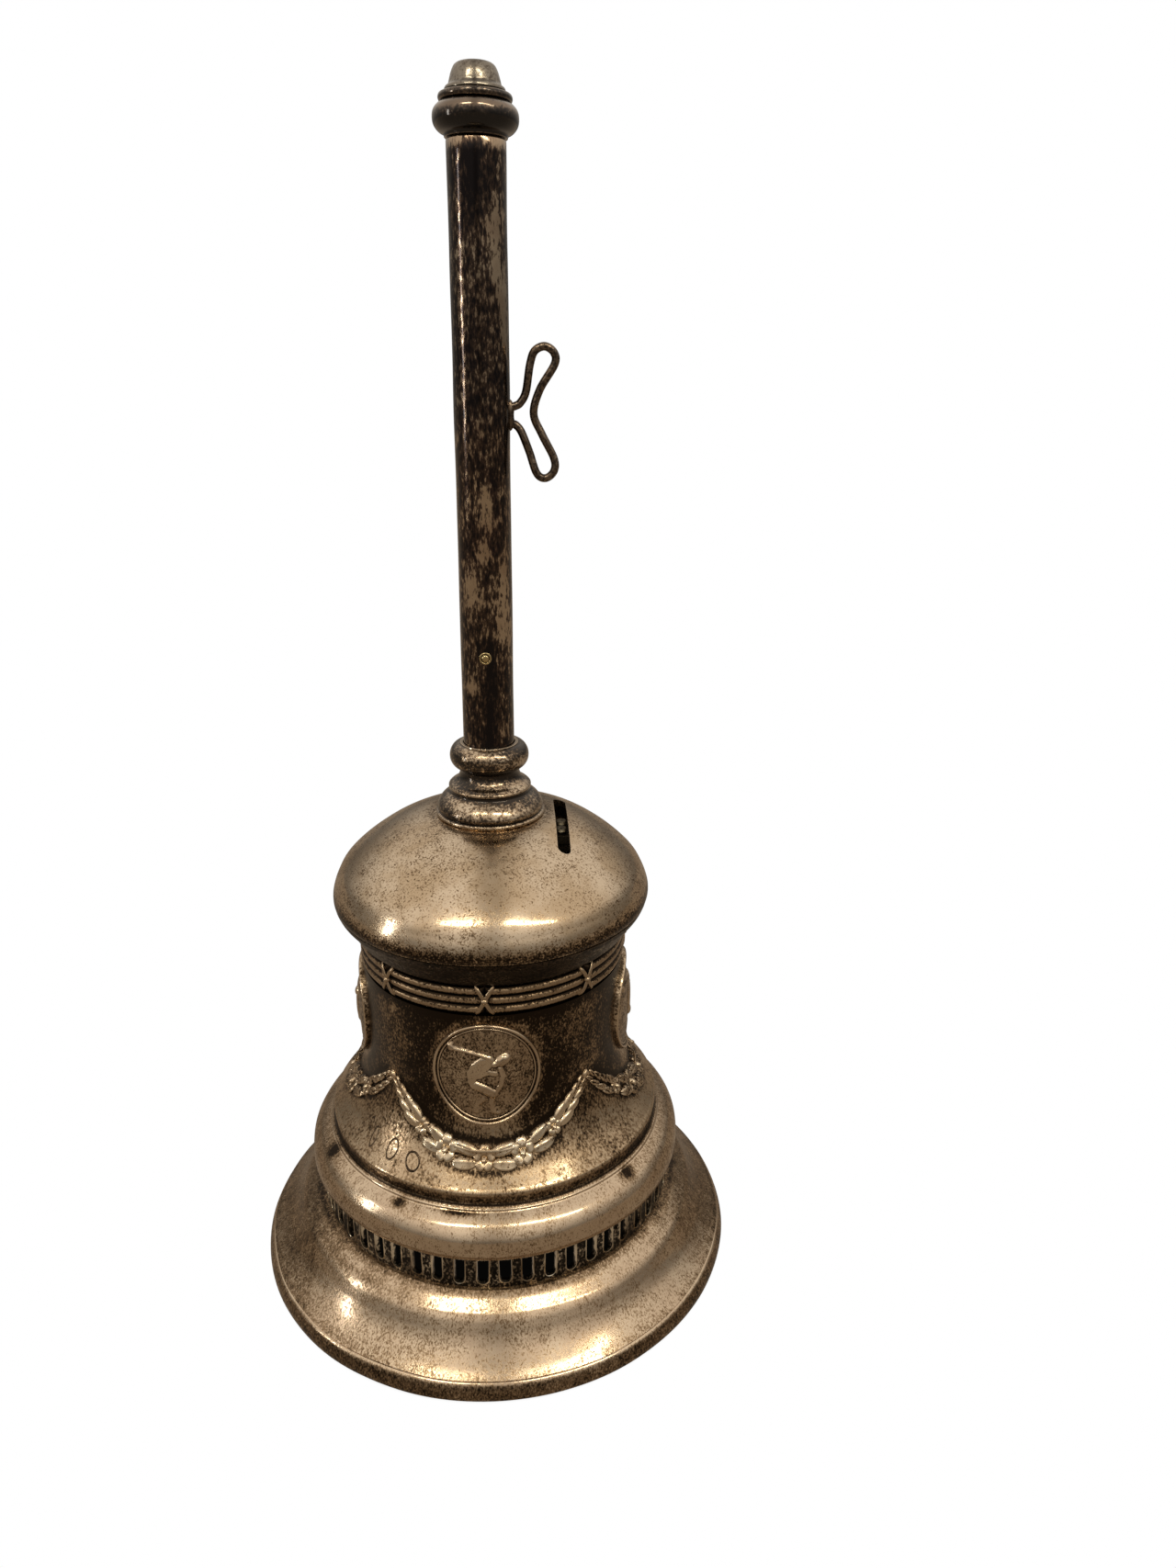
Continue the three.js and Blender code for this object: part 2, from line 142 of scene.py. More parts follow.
def beside(azimuth, centre, width):
    """1 at an azimuth, falling to 0 on both sides of it."""
    return bell_curve(from_azimuth(azimuth, centre), 0, width)


def circle(steps):
    """Angles all the way round."""
    return np.linspace(0, 2 * math.pi, steps, endpoint=False)


# ---------------- meshes
def set_attribute(mesh, name, values):
    attribute = mesh.attributes.new(name, "FLOAT", "POINT")
    attribute.data.foreach_set("value", np.asarray(values, np.float32))


def points_and_normals(mesh):
    co = np.empty(len(mesh.vertices) * 3, np.float32)
    mesh.vertices.foreach_get("co", co)
    return co.reshape(-1, 3) / MM, np.array([v.normal for v in mesh.vertices])


def mark_creases(mesh):
    """Stores how each vertex bends, in 1/mm: below 0 in a hollow, above 0 on a ridge."""
    co, normal = points_and_normals(mesh)
    edges = np.array([e.vertices[:] for e in mesh.edges])
    way = co[edges[:, 1]] - co[edges[:, 0]]
    length2 = np.maximum((way ** 2).sum(1), 1e-4)
    bend = ((normal[edges[:, 1]] - normal[edges[:, 0]]) * way).sum(1) / length2
    degree = np.bincount(edges.ravel(), minlength=len(co))
    value = (np.bincount(edges[:, 0], bend, len(co)) + np.bincount(edges[:, 1], bend, len(co))) / degree
    for _ in range(2):
        around = np.bincount(edges[:, 0], value[edges[:, 1]], len(co))
        around += np.bincount(edges[:, 1], value[edges[:, 0]], len(co))
        value = 0.5 * value + 0.5 * around / degree
    set_attribute(mesh, "crease", value)


def mark_stain(mesh, stain, inside_wall):
    """Stores how dark each vertex is painted, by its azimuth, height and radius: tarnish, and on some pieces
    painted shade and painted highlight as well.
    """
    co, normal = points_and_normals(mesh)
    azimuth = np.degrees(np.arctan2(co[:, 0], -co[:, 1]))
    radius = np.hypot(co[:, 0], co[:, 1])
    value = stain(azimuth, co[:, 2], radius) if stain else np.zeros(len(co))
    # Faces that look inwards take the inside value: tarnish and painted shade.
    if inside_wall:
        outward = (normal[:, 0] * co[:, 0] + normal[:, 1] * co[:, 1]) / np.maximum(radius, 1e-3)
        value = np.where(outward + 0.35 * normal[:, 2] < -0.05, inside_wall, value)
    set_attribute(mesh, "stain", np.clip(value, -1, 1.5))


def piece(name, vertices, faces, material, replaces=(), slot="plate", body="bell", stain=None,
          inside_wall=0.0, sharp=38):
    """A closed mesh, in millimetres, that rides on a CAD body and stands for some CAD nodes."""
    mesh = bpy.data.meshes.new(name)
    mesh.from_pydata((np.asarray(vertices, float) * MM).tolist(), [], faces)
    bm = bmesh.new()
    bm.from_mesh(mesh)
    bmesh.ops.remove_doubles(bm, verts=bm.verts, dist=1e-7)
    bmesh.ops.dissolve_degenerate(bm, edges=bm.edges, dist=1e-8)
    bmesh.ops.recalc_face_normals(bm, faces=bm.faces)
    bm.to_mesh(mesh)
    bm.free()
    mesh.shade_smooth()
    mesh.set_sharp_from_angle(angle=math.radians(sharp))
    mark_creases(mesh)
    mark_stain(mesh, stain, inside_wall)
    mesh.materials.append(material)
    made = bpy.data.objects.new(name, mesh)
    bpy.context.scene.collection.objects.link(made)
    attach(made, body)
    if replaces:
        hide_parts(*replaces)
    return made


def grid_faces(rows, columns, wrap_rows=True):
    """Quads of a grid of vertices, listed row after row. The last column meets the first."""
    faces = []
    for i in range(rows if wrap_rows else rows - 1):
        for j in range(columns):
            k, m = (i + 1) % rows, (j + 1) % columns
            faces.append((i * columns + j, i * columns + m, k * columns + m, k * columns + j))
    return faces


def join(*shells):
    """Several (vertices, faces) shells as one."""
    vertices, faces, start = [], [], 0
    for shell_vertices, shell_faces in shells:
        vertices.append(np.asarray(shell_vertices, float))
        faces += [tuple(i + start for i in face) for face in shell_faces]
        start += len(shell_vertices)
    return np.vstack(vertices), faces


def polar(radius, angle, height):
    """Points round the Z axis. The angle is an azimuth in radians."""
    return np.stack(np.broadcast_arrays(radius * np.sin(angle), -radius * np.cos(angle), height), -1)


def lathe(outline, sides=SIDES, wobble=0.0):
    """Turns a closed outline of (radius, height) round Z. Wobble is the size of its slight dents."""
    outline = np.asarray(outline, float)
    azimuth = circle(sides)[:, None]
    co = polar(outline[:, 0][None, :], azimuth, outline[:, 1][None, :]).reshape(-1, 3)
    if wobble:
        dent = np.array([noise.noise(Vector(p) / 17.0) for p in co])
        co[:, :2] *= (1 + wobble * dent / np.maximum(np.hypot(co[:, 0], co[:, 1]), 6.0))[:, None]
    return co, grid_faces(sides, len(outline))


def turned(name, outline, material, sides=SIDES, wobble=0.0, **facts):
    return piece(name, *lathe(outline, sides, wobble), material, **facts)


def sweep(path, radius, sides=20, flat=1.0, up=(0, 1, 0), closed=False):
    """A round or flattened bar along a path. Radius is one number or one for each point."""
    path = np.asarray(path, float)
    tangent = np.gradient(path, axis=0)
    if closed:
        tangent = np.roll(path, -1, 0) - np.roll(path, 1, 0)
    tangent /= np.linalg.norm(tangent, axis=1)[:, None]
    up = np.broadcast_to(np.asarray(up, float), path.shape)
    side = np.cross(tangent, up)
    side /= np.linalg.norm(side, axis=1)[:, None]
    up = np.cross(side, tangent)
    angle = circle(sides)
    radius = np.broadcast_to(radius, len(path))[:, None, None]
    around = side[:, None] * np.cos(angle)[:, None] + flat * up[:, None] * np.sin(angle)[:, None]
    co = (path[:, None] + radius * around).reshape(-1, 3)
    faces = grid_faces(len(path), sides, wrap_rows=closed)
    if not closed:
        faces += [tuple(range(sides)), tuple(range(len(co) - sides, len(co)))]
    return co, faces


def ring(centre, radius, wire, plane, steps=48):
    """A wire ring. Plane is the two axes that it lies in, such as 'xz'."""
    angle = circle(steps)
    path = np.tile(np.array(centre, float), (steps, 1))
    path[:, "xyz".index(plane[0])] += radius * np.cos(angle)
    path[:, "xyz".index(plane[1])] += radius * np.sin(angle)
    across = np.zeros(3)
    across["xyz".index(({"x", "y", "z"} - set(plane)).pop())] = 1
    return sweep(path, wire, up=across, closed=True)


def on_drum(shell, azimuth, height=0.0):
    """Lays a flat relief of (across, up, depth) on the drum, at an azimuth and a height."""
    co, faces = shell
    z = height + co[:, 1]
    r = drum_radius(z)
    return polar(r + co[:, 2], math.radians(azimuth) + co[:, 0] / r, z), faces


def cushion(across, up, depth, angle=0.0, at=(0, 0), groove=0.0, point=1.0, lift=-0.25):
    """A small raised oval. Groove is a furrow along it, and a point above 1 sharpens its ends."""
    along_steps, around_steps = 13, 16
    s = -np.cos(np.linspace(0.0, math.pi, along_steps))[:, None]
    phi = circle(around_steps)[None, :]
    width = np.maximum(1 - s ** 2, 0) ** (0.5 * point)
    t = np.cos(phi)
    top = np.maximum(np.sin(phi), 0) * (1 - groove * np.exp(-(t / 0.28) ** 2))
    d = depth * np.maximum(1 - s ** 2, 0) ** 0.5 * top + lift * (np.sin(phi) < 0)
    x, y = across * s + 0 * t, up * width * t
    c, n = math.cos(math.radians(angle)), math.sin(math.radians(angle))
    co = np.stack([at[0] + c * x - n * y, at[1] + n * x + c * y, d], -1).reshape(-1, 3)
    return co, grid_faces(along_steps, around_steps, wrap_rows=False)


# ---------------- materials
class Nodes:
    """Builds the nodes of a material or of the world with few words."""

    def __init__(self, owner):
        owner.use_nodes = True
        self.tree = owner.node_tree
        self.tree.nodes.clear()
        self.coordinates = self.node("TexCoord").outputs
        self.position = self.coordinates["Object"]

    def finish(self, surface, kind="OutputMaterial"):
        self.tree.links.new(surface, self.node(kind).inputs["Surface"])

    def node(self, kind, inputs=None, **settings):
        made = self.tree.nodes.new("ShaderNode" + kind)
        for key, value in settings.items():
            setattr(made, key, value)
        for key, value in (inputs or {}).items():
            self.put(made.inputs[key], value)
        return made

    def put(self, socket, value):
        if isinstance(value, bpy.types.NodeSocket):
            self.tree.links.new(value, socket)
        else:
            socket.default_value = value

    def math(self, operation, *values):
        made = self.node("Math", operation=operation)
        for socket, value in zip(made.inputs, values):
            self.put(socket, value)
        return made.outputs[0]

    def total(self, *terms):
        """The sum of (weight, socket) terms."""
        value = 0.0
        for weight, socket in terms:
            value = self.math("MULTIPLY_ADD", socket, weight, value)
        return value

    def remap(self, value, low, high, to_low=0.0, to_high=1.0):
        """Low to high becomes to_low to to_high, with a smooth rise."""
        made = self.node("MapRange", {
            "Value": value, "From Min": low, "From Max": high, "To Min": to_low, "To Max": to_high,
        }, interpolation_type="SMOOTHSTEP")
        return made.outputs[0]

    def mix(self, factor, a, b):
        made = self.node("Mix", data_type="RGBA")
        self.put(made.inputs[0], factor)
        self.put(made.inputs[6], a)
        self.put(made.inputs[7], b)
        return made.outputs[2]

    def attribute(self, name):
        return self.node("Attribute", attribute_name=name).outputs["Fac"]

    def grain(self, size, detail=3.0, roughness=0.6, shift=0.0):
        """Noise whose grains have the given size in mm, the same in every direction."""
        vector = self.node("VectorMath", {0: self.position, "Scale": 1 / (size * MM)}, operation="SCALE")
        made = self.node("TexNoise", {
            "Vector": vector.outputs[0], "W": shift, "Scale": 1.0, "Detail": detail, "Roughness": roughness,
        }, noise_dimensions="4D")
        return made.outputs["Fac"]

    def turned_grain(self, around, along, detail=3.0, roughness=0.6, at_radius=35.0, shift=0.0):
        """Noise on a turned piece: grains of two sizes in mm, round the axis and along the profile."""
        x, y, z = self.node("SeparateXYZ", {0: self.position}).outputs
        radius = self.math("MAXIMUM", self.math("SQRT", self.math(
            "ADD", self.math("MULTIPLY", x, x), self.math("MULTIPLY", y, y))), 1e-5)
        turns = at_radius / around
        vector = self.node("CombineXYZ", {
            0: self.math("MULTIPLY", self.math("DIVIDE", x, radius), turns),
            1: self.math("MULTIPLY", self.math("DIVIDE", y, radius), turns),
            2: self.math("MULTIPLY", radius, 1 / (along * MM)),
        }).outputs[0]
        made = self.node("TexNoise", {
            "Vector": vector, "W": self.math("MULTIPLY_ADD", z, 1 / (along * MM), shift),
            "Scale": 1.0, "Detail": detail, "Roughness": roughness,
        }, noise_dimensions="4D")
        return made.outputs["Fac"]


def colour(red, green, blue):
    return (red, green, blue, 1.0)


SPECK_SHARE, PATCH_SHARE, CLOUD_SHARE = 1.3, 0.36, 0.3  # how strongly each grain varies the tarnish
FILM_FROM, FILM_TO = 0.52, 0.70  # the levels between which the brown film grows
DULL_FROM, DULL_TO = 0.46, 0.68  # the levels between which the shine goes
HOLLOW_BEND, RIDGE_BEND = (-0.12, -1.1), (0.3, 1.6)  # creases where dirt gathers and where plate wears
TINT_SIZE, SMEAR_SIZE, PIT_SIZE = 11.0, 1.1, 0.5  # grain of the warm tint, the shine and the pits, mm
BUMP_STRENGTH, COAT_ROUGHNESS = 0.22, 0.10


def tarnished(name, clean, warm, brown, black, amount=0.0, speck=(0.6, 0.6), patch=(2.2, 3.2),
              cloud=16.0, lathed=True, at_radius=35.0, softness=0.035, gloss=(0.17, 0.44),
              hollows=0.9, wear=0.5, relief=0.010, spread=0.3, contrast=1.0, black_at=0.70,
              coat=0.0):
    """Old plated metal: a clean tone, a warm tint, a brown film and black specks and patches.

    Amount is how much of it is dark all over, and each vertex's tarnish-and-shade value, which holds painted
    shade and painted highlight as well as tarnish, and its crease add to it by the spread. Speck, patch and
    cloud are sizes in mm. Gloss is the roughness where it is clean and where it is dark. A lathed piece has
    its grain along the turning.
    """
    clean, warm, brown, black = (colour(*tone) for tone in (clean, warm, brown, black))
    material = bpy.data.materials.new(name)
    n = Nodes(material)
    if lathed:
        specks = n.turned_grain(*speck, detail=4.0, roughness=0.68, at_radius=at_radius)
        patches = n.turned_grain(*patch, at_radius=at_radius, shift=31.0)
    else:
        specks = n.grain(speck[0], detail=4.0, roughness=0.68)
        patches = n.grain(patch[0], shift=31.0)
    clouds = n.grain(cloud, detail=2.0, shift=5.0)
    crease = n.attribute("crease")
    hollow, ridge = n.remap(crease, *HOLLOW_BEND), n.remap(crease, *RIDGE_BEND)
    # The vertex value holds painted shade and painted highlight as well as tarnish; hollows and ridges add
    # patina and wear.
    dirt_and_shade = n.total((1.0, n.attribute("stain")), (hollows, hollow), (-wear, ridge))
    shares = [contrast * share for share in (SPECK_SHARE, PATCH_SHARE, CLOUD_SHARE)]
    level = n.total(*zip(shares, (specks, patches, clouds)), (spread, dirt_and_shade))
    level = n.math("ADD", level, 0.5 - 0.5 * sum(shares) + spread * amount)
    dark = n.remap(level, black_at - softness, black_at + softness)
    film = n.remap(level, FILM_FROM, FILM_TO)
    tone = n.mix(n.remap(n.grain(TINT_SIZE, shift=12.0), 0.38, 0.62), clean, warm)
    tone = n.mix(film, tone, brown)
    tone = n.mix(dark, tone, black)
    dull = n.remap(level, DULL_FROM, DULL_TO)
    roughness = n.total((gloss[1] - gloss[0], dull), (0.16, n.grain(SMEAR_SIZE, shift=2.0)))
    roughness = n.math("ADD", roughness, gloss[0] - 0.08)
    height = n.total((-1.0, film), (0.5, n.grain(PIT_SIZE, shift=9.0)))
    bump = n.node("Bump", {"Strength": BUMP_STRENGTH, "Distance": relief * MM, "Height": height})
    shader = n.node("BsdfPrincipled", {
        "Base Color": tone, "Roughness": roughness, "Normal": bump.outputs[0], "Metallic": 1.0,
        "Coat Weight": coat, "Coat Roughness": COAT_ROUGHNESS,
    })
    n.finish(shader.outputs[0])
    return material


CHAMPAGNE = (0.60, 0.50, 0.375)
SAND = (0.52, 0.40, 0.27)
UMBER = (0.27, 0.185, 0.11)
SOOT = (0.022, 0.015, 0.010)

PLATE = tarnished(
    "plate_dome", (0.66, 0.545, 0.41), SAND, UMBER, SOOT, amount=0.15, speck=(0.42, 0.42),
    patch=(1.6, 1.6), lathed=False, softness=0.11, black_at=0.74, gloss=(0.13, 0.30), contrast=1.15)
PLATE_DRUM = tarnished(
    "plate_drum", (0.48, 0.38, 0.265), SAND, UMBER, SOOT, amount=0.34, speck=(0.44, 0.70),
    patch=(2.8, 3.6), spread=0.40, cloud=9.0, contrast=0.9, softness=0.11, black_at=0.74,
    gloss=(0.15, 0.36))
PLATE_FOOT = tarnished(
    "plate_foot", (0.64, 0.52, 0.385), (0.58, 0.455, 0.33), UMBER, SOOT, amount=0.28, speck=(0.30, 0.52),
    at_radius=50.0, black_at=0.78, softness=0.14, gloss=(0.14, 0.30), contrast=0.9)
PLATE_COLLAR = tarnished(
    "plate_collar", CHAMPAGNE, SAND, UMBER, SOOT, amount=0.62, patch=(2.2, 2.2), lathed=False, wear=1.0,
    hollows=0.8, contrast=1.1, softness=0.14, black_at=0.72, gloss=(0.14, 0.26), coat=0.6)
PLATE_CHASED = tarnished(
    "plate_chased", (0.66, 0.56, 0.42), SAND, UMBER, SOOT, amount=0.05, patch=(2.4, 2.4), lathed=False,
    wear=1.0, hollows=1.1, gloss=(0.2, 0.38))
PLATE_MEDALLION = tarnished(
    "plate_medallion", (0.58, 0.47, 0.34), (0.42, 0.32, 0.22), (0.21, 0.145, 0.088), SOOT, amount=0.48,
    speck=(0.42, 0.55), patch=(2.2, 2.8), wear=1.3, hollows=0.45, softness=0.08, gloss=(0.14, 0.36),
    contrast=0.75)
PLATE_BAND = tarnished(
    "plate_band", (0.40, 0.31, 0.21), (0.36, 0.27, 0.18), UMBER, SOOT, amount=0.4, speck=(0.45, 0.45),
    wear=0.5, hollows=1.4, gloss=(0.22, 0.38), contrast=0.6)
# Near black: painted shade on the neck under the dome, and the dark of the struck marks.
PLATE_DARK_AND_SHADE = tarnished(
    "plate_dark_and_shade", (0.075, 0.052, 0.033), (0.055, 0.038, 0.025), (0.022, 0.015, 0.010),
    (0.008, 0.006, 0.004), amount=0.5, patch=(6.0, 1.5))
PLATE_GALLERY = tarnished(
    "plate_gallery", (0.80, 0.72, 0.58), (0.30, 0.24, 0.17), (0.085, 0.068, 0.052), (0.02, 0.017, 0.014),
    amount=0.85, speck=(0.6, 0.9), at_radius=46.0, wear=1.6, hollows=0.4)
PLATE_TUBE = tarnished(
    "plate_tube", (0.48, 0.38, 0.27), (0.36, 0.265, 0.18), (0.085, 0.052, 0.034), (0.008, 0.005, 0.006),
    amount=0.58, speck=(0.62, 1.9), patch=(1.7, 5.0), cloud=9.0, at_radius=6.0, softness=0.17,
    gloss=(0.12, 0.20), spread=0.45, contrast=1.2, black_at=0.76, coat=0.35, relief=0.004)
PLATE_FINIAL = tarnished(
    "plate_finial", (0.22, 0.165, 0.12), (0.14, 0.10, 0.07), (0.04, 0.028, 0.02), (0.010, 0.008, 0.007),
    amount=0.66, speck=(0.5, 0.6), at_radius=8.0, patch=(3.6, 3.0), gloss=(0.14, 0.22), wear=0.9,
    contrast=0.6, softness=0.12, coat=0.7)
NUB = tarnished(
    "nub_metal", (0.26, 0.235, 0.195), (0.19, 0.165, 0.135), (0.10, 0.082, 0.065), SOOT, amount=0.2,
    patch=(2.6, 2.6), lathed=False, gloss=(0.16, 0.28), contrast=0.8, black_at=0.8, coat=0.3)
WIRE = tarnished(
    "wire_bronze", (0.20, 0.15, 0.105), (0.12, 0.09, 0.062), (0.065, 0.046, 0.034), SOOT, amount=0.45,
    speck=(0.7, 0.7), patch=(3.5, 3.5), lathed=False, gloss=(0.14, 0.28), softness=0.1, coat=0.4)
BRASS = tarnished(
    "aged_brass", (0.50, 0.40, 0.21), (0.40, 0.31, 0.16), (0.20, 0.14, 0.07), SOOT, amount=0.2,
    patch=(3.0, 3.0), lathed=False)
STEEL = tarnished(
    "old_steel", (0.40, 0.39, 0.37), (0.33, 0.29, 0.24), (0.16, 0.105, 0.07), (0.05, 0.04, 0.033),
    amount=0.22, speck=(0.5, 0.5), patch=(3.0, 3.0), lathed=False, gloss=(0.32, 0.52))
DULL_STEEL = tarnished(
    "dull_steel", (0.16, 0.15, 0.12), (0.13, 0.115, 0.085), (0.07, 0.055, 0.04), (0.03, 0.025, 0.02),
    amount=0.3, speck=(0.5, 0.5), patch=(3.0, 3.0), lathed=False, gloss=(0.42, 0.6))


# ---------------- foot
def make_rim():
    high = box_mm("rim_band")[1]
    outer = high[0]
    outline = rounded([
        (58.3, 0), (outer - 0.1, 0, 0.4), (outer, 0.9, 0.5), (outer - 0.1, 1.9, 0.6), (outer - 0.7, 3.4, 0.8),
        (outer - 1.3, 4.3, 0.5), (outer - 2.1, high[2], 0.5), (58.3, high[2] - 0.3),
    ])

    def stain(azimuth, z, r):
        return 0.6 * step(z, 4.2, 3.4) - 0.45 * step(z, 4.0, 4.4)

    turned("spun_rim", outline, PLATE_FOOT, replaces=["rim_band"], stain=stain, wobble=0.2)


def make_skirt():
    outside = spline([
        (60.2, 4.7), (58, 6.5), (55.5, 8.9), (53.9, 11.0), (52.8, 12.8), (52.0, 14.1), (51.2, 15.05),
        (50.4, 15.72), (49.6, 16.36), (48.4, 17.3), (46.9, 18.2),
    ], 9)
    lip = [(45.7, 18.3), (45.7, 17.3)]
    outline = [*outside, *lip, *offset_inwards(outside, WALL)[2:-1], (58.8, 4.7)]

    def stain(azimuth, z, r):
        by_gallery = 0.55 * step(r, 49.2, 47.0)
        by_rim = 0.22 * step(r, 58.6, 60.2)
        # Painted shade: darker towards the sides, away from the front.
        sides = 0.55 * step(np.abs(from_azimuth(azimuth, 8)), 34, 88)
        pits = 0.30 * bell_curve(r, 50.2, 1.6) * beside(azimuth, -38, 24)
        return by_gallery + by_rim + sides + pits - 0.05

    turned("spun_skirt", outline, PLATE_FOOT, sides=240, replaces=["foot_skirt"], stain=stain,
           inside_wall=INSIDE_TARNISH_AND_SHADE, wobble=0.35)


def make_gallery():
    """A ring of slots with round bottoms and raised burrs, each cut a little differently.

    A slot's cell is a loop of points in every layer, from the cell's border in to the slot's edge.
    """
    low, high = box_mm("pierced_gallery")
    outer = high[0]
    inner = outer - WALL
    pitch = 2 * math.pi * outer / GALLERY_SLOTS
    rows = np.linspace(high[2] - 1.0, low[2] + 3.6, 9)
    turn = np.linspace(0, math.pi, 13)[1:-1]
    lid = np.linspace(-1, 1, 5)[1:-1]
    unit_x = np.concatenate([np.ones(9), np.cos(turn), -np.ones(9), lid])
    frame_x = np.concatenate([np.ones(9), np.linspace(1, -1, len(turn)), -np.ones(9), lid]) * pitch / 2
    frame_z = np.concatenate([rows, np.full(len(turn), low[2]), rows[::-1], np.full(3, high[2])])
    frame_z[[0, len(rows) + len(turn) + len(rows) - 1]] = high[2]
    count = len(unit_x)
    random = np.random.default_rng(SEED)
    shells = []
    for slot in range(GALLERY_SLOTS):
        half = SLOT_WIDTH / 2 * random.uniform(0.94, 1.12)
        lean = random.uniform(-0.16, 0.16)
        shift = random.uniform(-0.16, 0.16)
        bottom = low[2] + 2.4 + half + random.uniform(-0.15, 0.35)
        slot_z = np.concatenate([
            np.linspace(high[2] - 1.0, bottom, 9), bottom - half * np.sin(turn),
            np.linspace(bottom, high[2] - 1.0, 9), np.full(3, high[2] - 1.0)])
        burr = random.uniform(0.09, 0.26) * (0.6 + 0.4 * np.sin(np.linspace(0, 9, count) + slot))
        middle = shift + lean * (slot_z - bottom) / 8
        layers = []
        for grow, radius in ((0.3, outer), (0.15, outer + burr), (0.02, outer + 0.6 * burr),
                             (0.0, outer - 0.15), (0.0, inner)):
            down = np.where(slot_z < bottom, (bottom - slot_z) / half, 0) * grow
            layers.append((middle + unit_x * (half + grow), slot_z - down, radius))
        layers = [(frame_x, frame_z, outer), *layers, (frame_x, frame_z, inner)]
        co = np.vstack([np.column_stack([x, z, np.broadcast_to(r, count)]) for x, z, r in layers])
        angle = 2 * math.pi * slot / GALLERY_SLOTS + GALLERY_TURN + co[:, 0] / outer
        shells.append((polar(co[:, 2], angle, co[:, 1]), grid_faces(len(layers), count)))

    def stain(azimuth, z, r):
        return 0.35 * step(r, outer - 0.3, inner) - 1.5 * step(r, outer + 0.02, outer + 0.1)

    piece("pierced_ring", *join(*shells), PLATE_GALLERY, replaces=["pierced_gallery"], slot="dark_plate",
          stain=stain, sharp=30)


def make_torus():
    outside = spline([
        (46.7, 27.2), (47.5, 27.6), (48.1, 29.0), (48.15, 30.9), (47.75, 32.7), (46.9, 34.3), (45.9, 35.55),
        (44.9, 36.35), (43.9, 36.98), (43.2, 37.35),
    ])
    bead = rounded([(43.0, 37.5, 0.1), (42.95, 38.0, 0.3), (42.45, 38.25, 0.25), (42.2, 38.8, 0.2)])
    inside = [(42.0, 39.1), (42.0, 36.9), (42.3, 36.6), (43.3, 35.9), (44.9, 34.2), (46.0, 32), (46.7, 29.4)]
    # Dark spots: azimuth, height, reach round, reach up and down.
    spots = [(-63, 36.8, 2.6, 1.3), (-28, 36.9, 1.8, 0.7), (-9.5, 37.4, 6.0, 0.45), (49, 36.9, 2.4, 1.0),
             (118, 34.5, 3.4, 1.6), (-140, 35.8, 5.0, 1.1)]
    spot_depth = 1.8

    def stain(azimuth, z, r):
        value = 0.22 * step(z, 29.5, 27.6) - 0.12
        for centre, height, width, tall in spots:
            value = value + spot_depth * beside(azimuth, centre, width) * bell_curve(z, height, tall)
        # Painted shade: darker towards the sides, away from the front; the spots are tarnish.
        return value + 0.40 * step(np.abs(from_azimuth(azimuth, 10)), 36, 90)

    turned("spun_torus", [*outside, *bead, *inside], PLATE_FOOT, replaces=["torus_ring"], stain=stain,
           inside_wall=INSIDE_TARNISH_AND_SHADE, wobble=0.25)


# ---------------- drum
def drum_stain(azimuth, z, r):
    """Black patches of tarnish round the medallions, a dark line of tarnish and painted shade beside each
    swag, and a darker foot.
    """
    from_quarter = np.abs((azimuth + 45) % 90 - 45)
    patches = (0.22 + 0.34 * step(from_quarter, 42, 26)) * step(z, 50, 58)
    above = z - swag_height(from_quarter)
    under_band = 0.35 * step(z, 80.5, 83)
    # Tarnish and painted shade along the edges of each swag.
    by_swag = 0.75 * bell_curve(above, 3.0, 0.8) + 0.5 * bell_curve(above, -2.9, 0.7)
    by_swag = by_swag * step(from_quarter, 43, 38)
    oval = np.hypot(np.radians(from_quarter) * DRUM_R / MEDALLION_HALF_W,
                    (z - MEDALLION_Z) / MEDALLION_HALF_H)
    patches = patches - 0.4 * bell_curve(oval, 1.05, 0.08)
    flare = 0.14 * bell_curve(from_quarter, 45, 20) - 0.12 * step(z, 50, 44)
    return patches + under_band + by_swag + flare + 0.38 * step(z, 41.0, 40.2)


def make_drum():
    foot = rounded([(41.9, 36.7, 0.3), (41.95, 40.6, 0.4), (42.15, 41.1, 0.3), (42.1, 41.7, 0.35),
                    (41.8, 42.1)])
    outside = np.vstack([
        foot[1:], FLARE[1:], [(DRUM_R, z) for z in np.linspace(68, 83, 13)],
        [(DRUM_R, 83.4), (31.2, 83.6), (31.2, 91)],
    ])
    inside = [(29.8, 91), (29.8, 82), (31, 81.6), *offset_inwards(FLARE, WALL)[6:-1], (40.5, 36.7)]
    turned("spun_drum", [*outside, *inside], PLATE_DRUM, sides=240, replaces=["bell_body"],
           stain=drum_stain, inside_wall=INSIDE_TARNISH_AND_SHADE, wobble=0.25)


